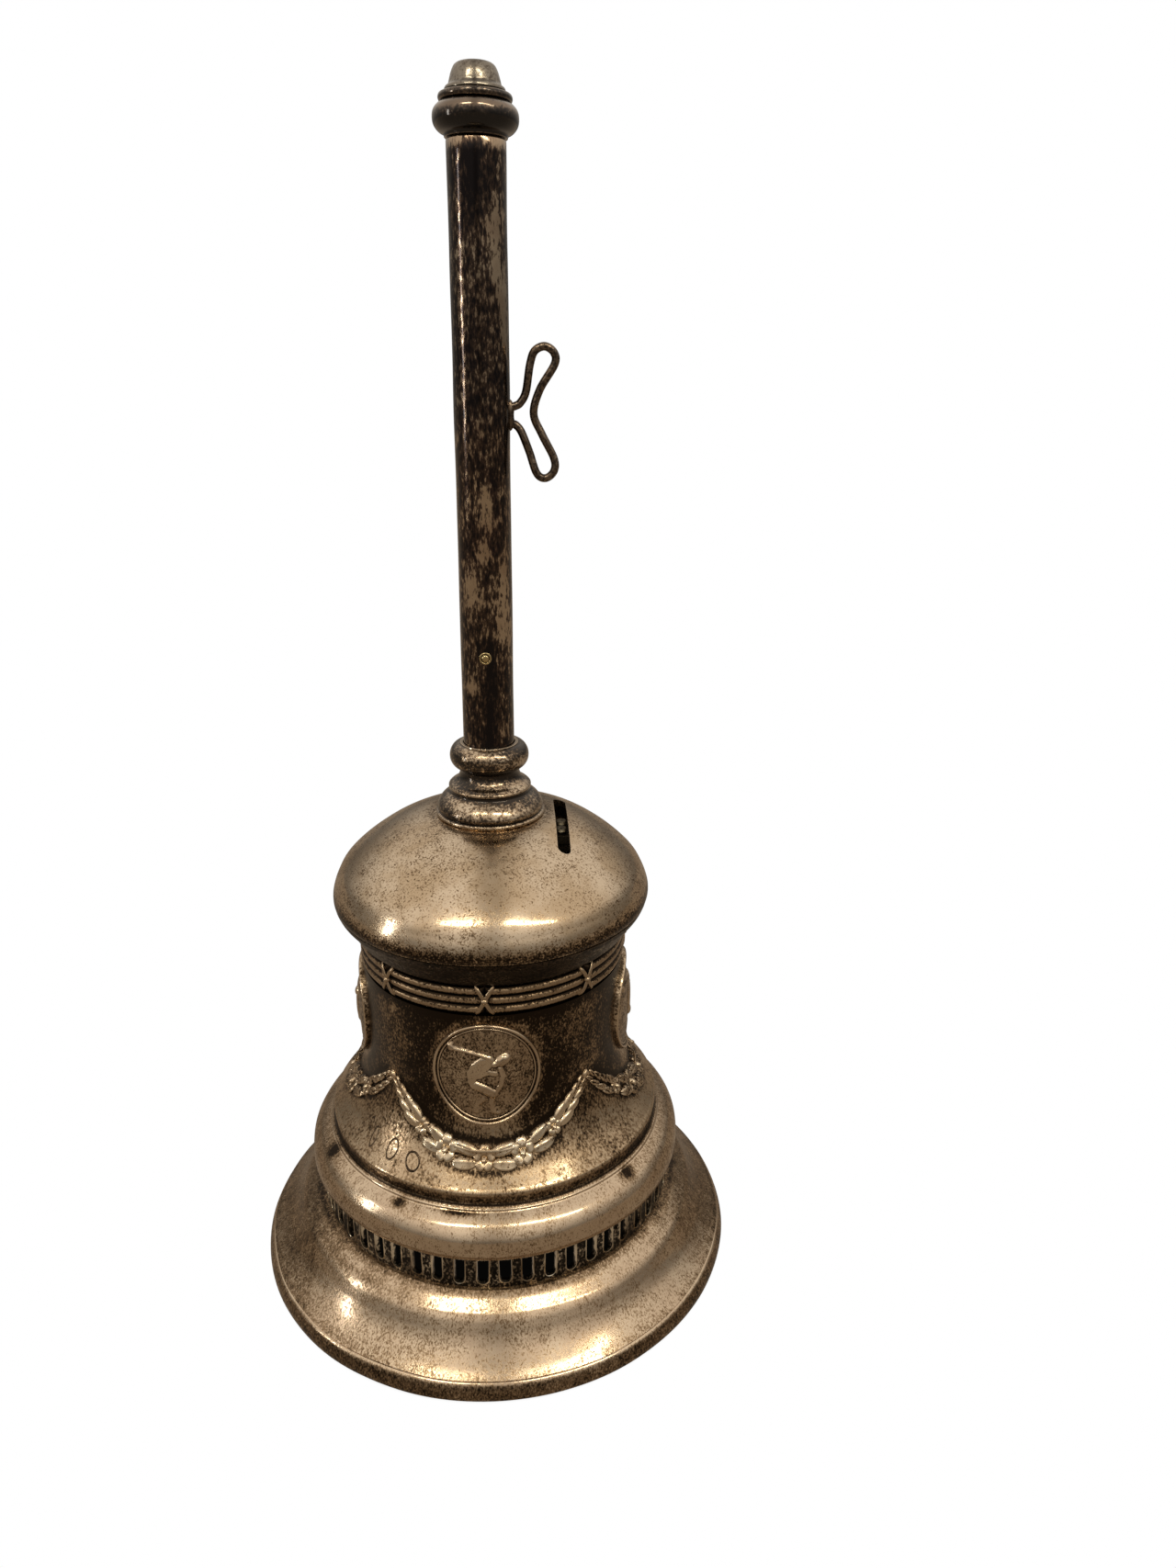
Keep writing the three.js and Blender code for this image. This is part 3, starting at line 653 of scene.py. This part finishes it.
def make_reed_band():
    """Three reeds, pinched under a crossed ribbon at every eighth of the way round."""
    low, high = box_mm("reed_band")
    columns, reeds, reed_r, centre_r = 512, 3, 1.13, 31.75
    azimuth = np.linspace(0, 360, columns, endpoint=False)
    from_tie = np.abs((azimuth + 22.5) % 45 - 22.5) * math.radians(1) * DRUM_R
    ends = np.clip(from_tie / 2.3, 0, 1)
    swell = 0.25 + 0.75 * np.sqrt(1 - (1 - ends) ** 2)
    section = []
    for reed in range(reeds):
        for phi in np.linspace(-0.5 * math.pi, 0.5 * math.pi, 10)[:-1]:
            section.append((math.cos(phi), low[2] + reed_r * (1 + 2.03 * reed) + reed_r * math.sin(phi)))
    section.append((0, high[2] - 0.2))
    co = []
    for angle, size in zip(np.radians(azimuth), swell):
        for bulge, z in section:
            r = centre_r - 0.15 + 1.05 * reed_r * bulge * size
            co.append((r * math.sin(angle), -r * math.cos(angle), z))
        for z in (high[2] - 0.2, low[2]):
            co.append((31.5 * math.sin(angle), -31.5 * math.cos(angle), z))
    shells = [(np.array(co), grid_faces(columns, len(section) + 2))]
    middle = (low[2] + high[2]) / 2
    for tie in range(8):
        for way in (-1, 1):
            t = np.linspace(-1, 1, 15)
            path = np.column_stack([way * 2.1 * t, 3.55 * t + 0.25 * np.sin(3 * t), 0.50 - 0.75 * t ** 4])
            bar = sweep(path, 0.5 * (1 - 0.35 * t ** 8), sides=12, flat=0.62, up=(0, 0, 1))
            shells.append(on_drum(bar, 45 * tie, middle))
        knob = cushion(0.95, 0.85, 1.25, lift=-0.6)
        shells.append(on_drum(knob, 45 * tie, middle))

    def stain(azimuth, z, r):
        # Darker in the grooves and on the reeds' flanks, tarnish and painted shade; the crests stay pale.
        return 0.95 * step(r, 32.85, 32.3) - 0.1

    piece("reeded_band", *join(*shells), PLATE_BAND, replaces=["reed_band"], stain=stain, sharp=50)


# A bent athlete with one arm held out: (points, half thickness, height), in mm from the
# medallion's middle.
FIGURE = [
    ([(-8.0, 7.3), (-7.8, 6.8)], 0.78, 0.68),
    ([(-7.6, 6.7), (-4.6, 6.6), (-2.5, 6.2), (-0.4, 5.6), (0.9, 5.1), (1.4, 4.4)], 0.42, 0.45),
    ([(1.9, 3.5), (3.0, 3.9)], 0.78, 0.68),
    ([(3.4, 4.1), (4.1, 4.6)], 1.31, 0.88),
    ([(-0.6, 4.4), (-2.2, 2.9), (-3.1, 0.9), (-3.0, -1.4)], 0.98, 0.51),
    ([(0.6, 4.2), (-0.9, 2.6), (-1.7, 1.0)], 1.50, 0.31),
    ([(-1.0, 0.7), (0.6, 1.3), (2.0, 0.9)], 0.69, 0.27),
    ([(3.2, 2.4), (3.65, 0.2), (3.3, -2.0), (2.0, -4.6)], 0.58, 0.54),
    ([(-2.4, -2.2), (-0.5, -3.1), (1.5, -4.6)], 1.23, 0.71),
    ([(1.5, -5.2), (1.1, -7.3), (1.5, -9.7)], 0.62, 0.44),
    ([(-0.7, -6.3), (-2.1, -7.7), (-2.4, -9.8)], 0.62, 0.27),
    ([(1.5, -9.9), (2.7, -10.2)], 0.50, 0.31),
]


def figure_height(x, y):
    height = np.zeros_like(x)
    for points, half, tall in FIGURE:
        for (ax, ay), (bx, by) in zip(points, points[1:]):
            run = (bx - ax) ** 2 + (by - ay) ** 2
            t = np.clip(((x - ax) * (bx - ax) + (y - ay) * (by - ay)) / run, 0, 1)
            away = np.hypot(x - ax - t * (bx - ax), y - ay - t * (by - ay)) / half
            limb = tall * np.sqrt(np.clip(1 - away ** 2, 0, 1))
            height = np.maximum(height, limb)
    return height


def make_medallions():
    rings = np.concatenate([np.linspace(0.012, 0.84, 58), np.linspace(0.85, 1.0, 30)])
    spokes = 168
    angle = circle(spokes)[None, :]
    rho = rings[:, None]
    x, y = MEDALLION_HALF_W * rho * np.sin(angle), MEDALLION_HALF_H * rho * np.cos(angle)
    field = 0.65 + 1.5 * (1 - np.clip(rho / 0.88, 0, 1) ** 2)
    outer_bead = 0.62 * np.sqrt(np.clip(1 - ((rho - 0.963) / 0.034) ** 2, 0, 1))
    inner_bead = 0.28 * np.sqrt(np.clip(1 - ((rho - 0.897) / 0.02) ** 2, 0, 1))
    depth = field + outer_bead + inner_bead + figure_height(x, y)
    front = np.stack([x, y, depth + 0 * x], -1).reshape(-1, 3)
    back = front[-spokes:].copy()
    back[:, 2] = -0.25
    co = np.vstack([front, back])
    faces = grid_faces(len(rings) + 1, spokes, wrap_rows=False)
    faces += [tuple(range(spokes)), tuple(range(len(co) - spokes, len(co)))]
    for side, azimuth in QUARTERS.items():
        def stain(around, z, r, azimuth=azimuth):
            across = np.radians(from_azimuth(around, azimuth)) * DRUM_R
            return -0.45 * np.clip(figure_height(across, z - MEDALLION_Z) / 0.3, 0, 1)

        piece(f"chased_medallion_{side}", *on_drum((co, faces), azimuth, MEDALLION_Z), PLATE_MEDALLION,
              replaces=[f"medallion_{side}"], stain=stain, sharp=60)


def flower(size, at):
    petals = []
    for petal in range(5):
        angle = 90 + 72 * petal
        a = math.radians(angle)
        centre = (at[0] + 0.88 * size * math.cos(a), at[1] + 0.88 * size * math.sin(a))
        petals.append(cushion(0.66 * size, 0.74 * size, 0.66 * size, angle, centre, groove=0.3))
    petals.append(cushion(0.42 * size, 0.42 * size, 0.98 * size, 0, at))
    return petals


def make_garlands():
    """A swag of five flowers with pairs of leaves between them, narrowing to a bud at each end."""
    flowers = [(-27, 1.4), (-15.5, 2.0), (-1, 1.8), (13, 2.0), (26.5, 1.4)]
    leaves = [(7, 1.0), (20.5, 0.95), (31.3, 0.86), (35.3, 0.74), (38.9, 0.62), (42, 0.46)]
    shells = []
    for azimuth, size in flowers:
        shells += [(shell, azimuth) for shell in flower(size, (0, float(swag_height(azimuth))))]
    for sign in (-1, 1):
        for azimuth, size in leaves:
            here = sign * azimuth - (0.8 if azimuth < 20 else 0)
            z = float(swag_height(here))
            ahead = float(swag_height(here + sign)) - z
            slope = math.degrees(math.atan2(ahead, sign * math.radians(1) * drum_radius(z)))
            for side in (-1, 1):
                away = math.radians(slope + 90)
                at = (side * 1.4 * size * math.cos(away), z + side * 1.4 * size * math.sin(away))
                tilt = slope + side * 9
                leaf = cushion(3.1 * size, 1.35 * size, 1.45 * size, tilt, at, groove=0.35, point=1.05)
                shells.append((leaf, here))
        bud = cushion(1.25, 0.62, 0.75, 58 * sign, (0, float(swag_height(44.4))), point=1.4)
        shells.append((bud, 44.4 * sign))

    def garland_stain(azimuth, z, r):
        # Darker low down near the drum, tarnish and painted shade; the garlands away from the front are
        # darker as painted shade.
        return step(r - drum_radius(z), 0.75, 0.25) + 0.5 * step(np.abs(azimuth), 46, 52)

    t = np.linspace(-1, 1, 61)
    stem_z = swag_height(44 * t)
    for side, azimuth in QUARTERS.items():
        laid = [on_drum(shell, azimuth + away) for shell, away in shells]
        angle = np.radians(azimuth + 44 * t)
        path = polar(drum_radius(stem_z) + 0.05, angle, stem_z)
        bed = sweep(path, 1.9 * (1 - 0.8 * np.abs(t) ** 1.6), sides=16, flat=0.2, up=polar(1, angle, 0))
        piece(f"chased_garland_{side}", *join(bed, *laid), PLATE_CHASED, replaces=[f"garland_{side}"],
              stain=garland_stain, sharp=70)


def make_blank_marks():
    """Three small struck outlines on the flare, left blank."""
    shells = []
    for azimuth, z, across, up, tilt in ((-46.5, 45.9, 0.8, 1.9, 8), (-36.5, 45.8, 1.4, 1.9, 0),
                                         (-27, 45.2, 1.9, 1.5, -28)):
        angle = circle(36)
        c, s = math.cos(math.radians(tilt)), math.sin(math.radians(tilt))
        x, y = across * np.cos(angle), up * np.sin(angle)
        path = np.column_stack([c * x - s * y, s * x + c * y, 0.02 + 0 * x])
        loop = sweep(path, 0.24, sides=8, up=(0, 0, 1), closed=True)
        shells.append(on_drum(loop, azimuth, z))
    piece("blank_marks", *join(*shells), PLATE_DARK_AND_SHADE, slot="dark_plate", sharp=80)


# ---------------- dome and collar
def make_neck():
    outside = spline([(32.7, 91.4), (33.2, 91.9), (34.2, 93), (35.8, 95.6), (37.4, 97.7), (38.1, 99.2)])
    # The neck is painted near black as shade under the dome's overhang.
    turned("spun_neck", [*outside, *offset_inwards(outside, WALL)], PLATE_DARK_AND_SHADE, replaces=["neck_ring"],
           slot="dark_plate", inside_wall=0.4)


def make_dome():
    outside = spline([
        (38.15, 99.5), (38.45, 100.6), (38.2, 102.2), (37.2, 104.8), (35.3, 108), (30.5, 112.5), (23.8, 117),
        (17, 119.6), (9, 120.6), (3.5, 120.7),
    ], 9)
    outline = [*outside, *offset_inwards(outside, WALL)]

    def stain(azimuth, z, r):
        # Painted shade darkens the underside of the rolled edge and the sides away from the front.
        underside_shade = 0.95 * step(z, 103.9, 100.7)
        sides = 0.10 * step(np.abs(from_azimuth(azimuth, 5)), 35, 90)
        by_collar = 0.45 * bell_curve(r, 13.8, 1.5)
        return underside_shade + sides + by_collar - 0.03

    dome = turned("spun_dome", outline, PLATE, sides=256, replaces=["dome_cap"], stain=stain,
                  inside_wall=INSIDE_TARNISH_AND_SHADE, wobble=0.3)
    cutter = slot_cutter()
    cut = dome.modifiers.new("slot", "BOOLEAN")
    cut.object, cut.operation, cut.solver = cutter, "DIFFERENCE", "EXACT"
    evaluated = dome.evaluated_get(bpy.context.evaluated_depsgraph_get())
    mesh = bpy.data.meshes.new_from_object(evaluated)
    dome.modifiers.clear()
    dome.data = mesh
    bpy.data.objects.remove(cutter)
    mesh.set_sharp_from_angle(angle=math.radians(38))


def slot_cutter():
    """A tall bar with round ends that cuts the slot beside the collar."""
    length, width = 27.0, 3.0
    x, y, turn = 17.1, -3.5, 3.0
    angle = np.linspace(0, math.pi, 13)
    reach = (length - width) / 2
    top = np.column_stack([width / 2 * np.cos(angle), reach + width / 2 * np.sin(angle)])
    plan = np.vstack([top, -top])
    c, s = math.cos(math.radians(turn)), math.sin(math.radians(turn))
    plan = np.column_stack([x + c * plan[:, 0] - s * plan[:, 1], y + s * plan[:, 0] + c * plan[:, 1]])
    count = len(plan)
    co = np.vstack([np.column_stack([plan, np.full(count, z)]) for z in (105.0, 125.0)])
    faces = [tuple(range(count))[::-1], tuple(range(count, 2 * count))]
    faces += [(i, (i + 1) % count, count + (i + 1) % count, count + i) for i in range(count)]
    mesh = bpy.data.meshes.new("cutter")
    mesh.from_pydata((co * MM).tolist(), [], faces)
    cutter = bpy.data.objects.new("cutter", mesh)
    bpy.context.scene.collection.objects.link(cutter)
    return cutter


def make_collar():
    bead = spline([(6.9, 137.75), (7.6, 137.6), (8.45, 137.0), (9.05, 136.0), (9.28, 134.8), (9.1, 133.6),
                   (8.5, 132.6), (7.65, 131.95)], 6)[::-1]
    ogee = spline([(9.9, 125.7), (10.6, 125.2), (11.5, 124.4), (12.25, 123.3), (12.6, 122.3),
                   (12.5, 121.7)], 6)[::-1]
    outline = np.vstack([
        rounded([(6.3, 120.95), (9, 120.85), (12.7, 120.3), (13.0, 120.55, 0.15), (12.95, 121.05, 0.2),
                 (12.5, 121.3, 0.1)]),
        ogee,
        rounded([(9.9, 125.7), (9.45, 126.1, 0.4), (9.4, 126.8, 0.3), (9.75, 127.05, 0.12),
                 (9.75, 127.5, 0.25), (9.2, 128.05, 0.5), (8.2, 128.6, 0.6), (7.3, 129.6, 0.6),
                 (6.95, 130.8, 0.4), (7.05, 131.5, 0.2), (7.65, 131.95)])[1:-1],
        bead,
        rounded([(6.9, 137.75), (6.85, 138.0, 0.08), (6.12, 138.0, 0.08), (6.02, 137.7)])[1:],
    ])

    def stain(azimuth, z, r):
        # The dark bands in the cove and under the steps are tarnish and painted shade; the pale line along
        # the top edge is wear and a painted highlight.
        value = 0.3 * np.sin(np.radians(azimuth) * 2 + z) + 0.95 * bell_curve(z, 130.9, 1.5)
        value = value + 0.8 * bell_curve(z, 126.2, 0.5) + 0.45 * bell_curve(z, 132.4, 0.7)
        value = value + 0.75 * bell_curve(z, 121.6, 0.5) - 0.9 * bell_curve(z, 137.95, 0.12)
        return value + 0.35 * beside(azimuth, 75, 45) * step(z, 134, 136)

    turned("turned_collar", outline, PLATE_COLLAR, sides=SMALL_SIDES * 2, replaces=["collar"], stain=stain)


# ---------------- handle
# Where the tube's plate is rubbed pale: height, reach up and down, azimuth, reach round.
PALE_PATCHES = [(167, 5.5, 46, 22), (177, 5, 48, 14), (152.5, 1.3, -34, 20), (231, 7, 60, 16),
                (239, 4, 38, 10), (192, 4, 8, 12), (183, 3, 0, 14), (174, 4, -30, 20), (240, 7, 205, 30),
                (180, 9, 150, 30), (150, 6, 230, 34)]


def make_tube():
    low, high = box_mm("handle_tube")
    outer, inner = high[0], high[0] - 1
    walls = np.linspace(low[2] + 0.3, high[2] - 0.3, 60)
    outline = [(inner, low[2]), (outer - 0.2, low[2]), *[(outer, z) for z in walls], (outer - 0.2, high[2]),
               (inner, high[2])]

    def stain(azimuth, z, r):
        # The black bands down the front are a painted dark reflection as well as tarnish; the pale patches
        # are rubbed plate.
        black = 0.55 * step(z, 244, 250) * beside(azimuth, -4, 24)
        black = black + 0.6 * step(z, 166, 160) * beside(azimuth, 9, 13)
        pale = 0.75 * bell_curve(z, 246, 3.2) * beside(azimuth, 38, 22)
        pale = pale + 0.8 * bell_curve(z, 261.0, 0.5)
        for height, tall, centre, wide in PALE_PATCHES:
            pale = pale + 0.8 * bell_curve(z, height, tall) * beside(azimuth, centre, wide)
        return black - pale

    turned("drawn_tube", outline, PLATE_TUBE, sides=SMALL_SIDES, replaces=["handle_tube"],
           slot="tube_plate", stain=stain, wobble=0.12)


def make_pin():
    """A rivet through the handle, with a small dome inside a ring at each end."""
    low, high = box_mm("tube_pin")
    reach, radius = high[1], high[0]
    height = (low[2] + high[2]) / 2
    side = [(0, reach + 0.12), (radius * 0.5, reach + 0.06, 0.25), (radius * 0.72, reach - 0.3, 0.1),
            (radius * 0.86, reach - 0.05, 0.1), (radius * 1.12, reach - 0.15, 0.12),
            (radius * 1.05, reach - 0.5), (radius, 0)]
    half = rounded(side)
    outline = np.vstack([half * (1, -1), half[::-1][1:]])
    co, faces = lathe(outline, 48)
    co = np.column_stack([co[:, 0], co[:, 2], height + co[:, 1]])
    piece("tube_rivet", co, faces, BRASS, replaces=["tube_pin"], slot="aged_brass")


def make_finial():
    bulb = rounded([
        (5.1, 261.4), (6.2, 261.4, 0.2), (6.3, 262.0, 0.2), (7.3, 262.4, 0.6), (8.3, 263.5, 0.9),
        (8.5, 265.0, 1.2), (8.2, 266.3, 0.9), (7.2, 267.2, 0.3), (5.1, 267.2),
    ], 6)
    flange = rounded([(3, 267.5), (7.0, 267.5, 0.3), (7.3, 268.2, 0.4), (7.0, 268.9, 0.3), (3, 268.9)], 6)
    tip = rounded([
        (0, 252), (2.5, 252), (2.5, 269.2), (6.0, 269.2, 0.3), (5.85, 269.9, 0.35), (5.15, 270.3, 0.4),
        (4.95, 271.2, 0.8), (4.5, 272.7, 0.9), (3.75, 273.95, 1.1), (1.8, 274.25, 0.8), (0, 274.28),
    ], 6)

    def stain(azimuth, z, r):
        # Painted shade darkens the bulb below its widest part, and the upper shoulder is kept clean as a
        # painted highlight.
        return 0.5 * step(z, 264.8, 263.2) - 0.9 * bell_curve(z, 266.2, 0.7) * step(r, 6.8, 7.4)

    turned("turned_bulb", bulb, PLATE_FINIAL, sides=SMALL_SIDES * 2, replaces=["finial_bulb"],
           slot="tube_plate", stain=stain)
    turned("turned_flange", flange, PLATE_FINIAL, sides=SMALL_SIDES * 2, replaces=["finial_flange"],
           slot="tube_plate")
    turned("turned_tip", tip, NUB, sides=SMALL_SIDES, replaces=["finial_tip"], slot="aged_brass")


def make_cleat():
    """A bent wire wing whose two ends are soldered to the tube."""
    route = spline([
        (6.5, 212.2), (7.15, 212.4), (8.1, 213), (9.3, 215.2), (10.2, 220.6), (11.2, 223.2), (13.3, 224.1),
        (15.2, 222.9), (15.3, 220.6), (12.2, 215.6), (10.9, 210.8), (12.7, 206.6), (15.2, 201.8),
        (15.2, 199.2), (13.4, 197.7), (11.5, 198.7), (9.9, 203.2), (8.3, 207.1), (7.15, 208.5), (6.5, 208.7),
    ], 10)
    path = np.column_stack([route[:, 0], 0.12 * np.sin(route[:, 1]), route[:, 1]])
    piece("bent_wire", *sweep(path, 0.85, sides=20), WIRE, replaces=["wire_cleat"], slot="tube_plate")
    co = []
    steps, sides = 24, 28
    for s in np.linspace(-1, 1, steps):
        wide = math.sqrt(max(1 - s * s, 0))
        lump = 1 + 0.35 * math.exp(-((abs(s) - 0.5) / 0.25) ** 2)
        for phi in circle(sides):
            co.append((6.0 + 0.75 * lump * wide * math.cos(phi), 1.3 * wide * math.sin(phi), 210.5 + 3.2 * s))
    piece("solder_blob", co, grid_faces(steps, sides, wrap_rows=False), WIRE, replaces=["cleat_pad"],
          slot="tube_plate")


# ---------------- hanger and clapper
def make_rivets():
    for number in range(1, 5):
        node = f"strap_rivet_{number}"
        low, high = box_mm(node)
        head, middle = (high[0] - low[0]) / 2, (low + high) / 2
        shank = head * 0.55
        outline = rounded([
            (0, low[2]), (head * 0.7, low[2] + 0.15, 0.3), (head, low[2] + 0.8, 0.2), (shank, low[2] + 0.8),
            (shank, high[2] - 0.8), (head, high[2] - 0.8, 0.2), (head * 0.7, high[2] - 0.15, 0.3),
            (0, high[2]),
        ])
        co, faces = lathe(outline, 36)
        co[:, :2] += middle[:2]
        piece(f"domed_rivet_{number}", co, faces, DULL_STEEL, replaces=[node], slot="steel")


def make_eyebolt_and_link():
    top = box_mm("clapper_eyebolt")[1][2]
    eye = ring((0, 0, 93.5), 3.5, 1.1, "xz")
    shank = lathe(rounded([(0, 96.2), (1.5, 96.2, 0.2), (1.6, 97), (1.6, top, 0.3), (0, top)]), 36)
    piece("forged_eyebolt", *join(eye, shank), STEEL, replaces=["clapper_eyebolt"], slot="steel", sharp=60)
    piece("wire_link", *ring((0, 0, 88.35), 4, 1, "yz"), STEEL, replaces=["clapper_link"], slot="steel",
          body="link")


def make_clapper():
    eye = ring((0, 0, 83.5), 3.2, 1.1, "xz")
    rod = lathe(rounded([(0, 50), (1.6, 50), (1.45, 65), (1.6, 77), (2.0, 79.6, 0.5), (1.3, 80.6, 0.3),
                         (0, 80.6)]), 36)
    piece("forged_rod", *join(eye, rod), STEEL, replaces=["clapper_rod"], slot="steel", body="clapper",
          sharp=60)
    low, high = box_mm("clapper_ball")
    radius = (high[0] - low[0]) / 2
    centre = (low[2] + high[2]) / 2
    bore = 1.9
    start = math.asin(bore / radius)
    angle = np.linspace(math.pi - start, start, 48)
    skin = np.column_stack([radius * np.sin(angle), centre + radius * np.cos(angle)])
    outline = [(bore, skin[0, 1]), *skin, (bore, skin[-1, 1])]
    turned("cast_ball", outline, BRASS, sides=SMALL_SIDES, replaces=["clapper_ball"], slot="aged_brass",
           body="clapper")


def dress_hardware():
    """The CAD nodes that show as they are get a small bevel and a finish."""
    looks = {"handle_core": STEEL, "tube_plug": BRASS, "crown_washer": STEEL, "crown_nut": STEEL,
             "hanger_bridge": DULL_STEEL, "hanger_strap": DULL_STEEL, "eyebolt_nut": STEEL}
    for node, material in looks.items():
        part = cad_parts[node]
        part.data.materials.clear()
        part.data.materials.append(material)
        bevel = part.modifiers.new("worn_edges", "BEVEL")
        bevel.width, bevel.segments, bevel.limit_method = 0.2 * MM, 2, "ANGLE"
        bevel.angle_limit = math.radians(40)


# ---------------- stage
def make_floor():
    """A white disc with a near-black disc of painted shade under the bell, dim in reflections and clear when
    seen from below.
    """
    radius, depth = 4.0, 0.0002
    angle = circle(96)
    mesh = bpy.data.meshes.new("floor")
    mesh.from_pydata(polar(radius, angle, -depth).tolist(), [], [tuple(range(len(angle)))])
    floor = bpy.data.objects.new("floor", mesh)
    bpy.context.scene.collection.objects.link(floor)
    material = bpy.data.materials.new("floor_paper_and_painted_shade")
    n = Nodes(material)
    away = n.node("VectorMath", {0: n.position}, operation="LENGTH").outputs["Value"]
    shade_disc_edge = (0.058, 0.062)
    # Painted shade: near black inside the bell's foot, white outside it.
    paper = n.mix(n.remap(away, *shade_disc_edge), colour(0.002, 0.0018, 0.0015), colour(1, 1, 1))
    seen = n.node("Emission", {"Color": paper, "Strength": 1.0})
    mirrored = n.node("Emission", {"Color": colour(0.30, 0.235, 0.17), "Strength": 1.0})
    ray = n.node("LightPath").outputs["Is Glossy Ray"]
    above = n.node("MixShader", {0: ray, 1: seen.outputs[0], 2: mirrored.outputs[0]})
    below = n.node("NewGeometry").outputs["Backfacing"]
    clear = n.node("BsdfTransparent")
    sheet = n.node("MixShader", {0: below, 1: above.outputs[0], 2: clear.outputs[0]})
    n.finish(sheet.outputs[0])
    mesh.materials.append(material)


def make_strip(name, start, end, width, radiance, tint, target=(0, 0, 0.08)):
    """A strip of light from start to end, in metres, that faces the target."""
    start, end = Vector(start), Vector(end)
    centre, along = (start + end) / 2, (end - start)
    data = bpy.data.lights.new(name, "AREA")
    data.shape, data.size, data.size_y = "RECTANGLE", along.length, width
    data.energy, data.color = radiance * math.pi * along.length * width, tint
    back = centre - Vector(target)
    x = along.normalized()
    z = (back - back.dot(x) * x).normalized()
    light = bpy.data.objects.new(name, data)
    light.matrix_world = Matrix.Translation(centre) @ Matrix((x, z.cross(x), z)).transposed().to_4x4()
    bpy.context.scene.collection.objects.link(light)


def make_world():
    """White to the camera; to the metal a warm room, bright above eye level, dim along its middle."""
    world = bpy.data.worlds.new("studio")
    bpy.context.scene.world = world
    n = Nodes(world)
    x, y, z = n.node("SeparateXYZ", {0: n.coordinates["Generated"]}).outputs
    by_height = n.remap(z, 0.0, 0.6, 0.20, 0.92)
    by_depth = n.math("MULTIPLY_ADD", y, -0.20, 1.0)
    by_side = n.remap(n.math("ABSOLUTE", x), 0.04, 0.24, 0.62, 1.0)
    strength = n.math("MULTIPLY", n.math("MULTIPLY", by_height, by_depth), by_side)
    room = n.node("Background", {"Color": colour(1.0, 0.90, 0.78), "Strength": strength})
    paper = n.node("Background", {"Color": colour(1, 1, 1), "Strength": 1.0})
    ray = n.node("LightPath").outputs["Is Camera Ray"]
    mixed = n.node("MixShader", {0: ray, 1: room.outputs[0], 2: paper.outputs[0]})
    n.finish(mixed.outputs[0], "OutputWorld")


def make_camera():
    data = bpy.data.cameras.new("camera")
    data.lens, data.sensor_width, data.sensor_fit = 24.87, 36.0, "AUTO"
    data.clip_start = 0.01
    camera = bpy.data.objects.new("camera", data)
    yaw, pitch, roll = 0.02663, 0.36257, 0.01258
    forward = Vector((math.sin(yaw) * math.cos(pitch), math.cos(yaw) * math.cos(pitch), -math.sin(pitch)))
    right = Vector((math.cos(yaw), -math.sin(yaw), 0))
    up = right.cross(forward)
    x = math.cos(roll) * right + math.sin(roll) * up
    y = -math.sin(roll) * right + math.cos(roll) * up
    camera.matrix_world = Matrix.Translation((0.01694, -0.24228, 0.21902)) @ Matrix(
        (x, y, -forward)).transposed().to_4x4()
    bpy.context.scene.collection.objects.link(camera)
    bpy.context.scene.camera = camera


WARM, DAYLIGHT = (1.0, 0.90, 0.68), (1.0, 0.97, 0.9)
# Strips of light: name, start and end in metres, width, radiance, tint.
STRIPS = [
    ("ceiling_left", (-0.55, -0.70, 1.03), (-0.12, -0.70, 1.03), 0.08, 21.0, WARM),
    ("ceiling_right", (0.17, -0.70, 1.03), (1.05, -0.70, 1.03), 0.08, 18.0, WARM),
    ("window", (-1.0, -0.33, 0.14), (-1.0, -0.33, 0.50), 0.07, 15.0, DAYLIGHT),
]

make_rim()
make_skirt()
make_gallery()
make_torus()
make_drum()
make_reed_band()
make_medallions()
make_garlands()
make_blank_marks()
make_neck()
make_dome()
make_collar()
make_tube()
make_pin()
make_finial()
make_cleat()
make_rivets()
make_eyebolt_and_link()
make_clapper()
dress_hardware()
make_floor()
make_world()
for strip in STRIPS:
    make_strip(*strip)
make_camera()
bpy.context.scene.view_settings.view_transform = "Standard"
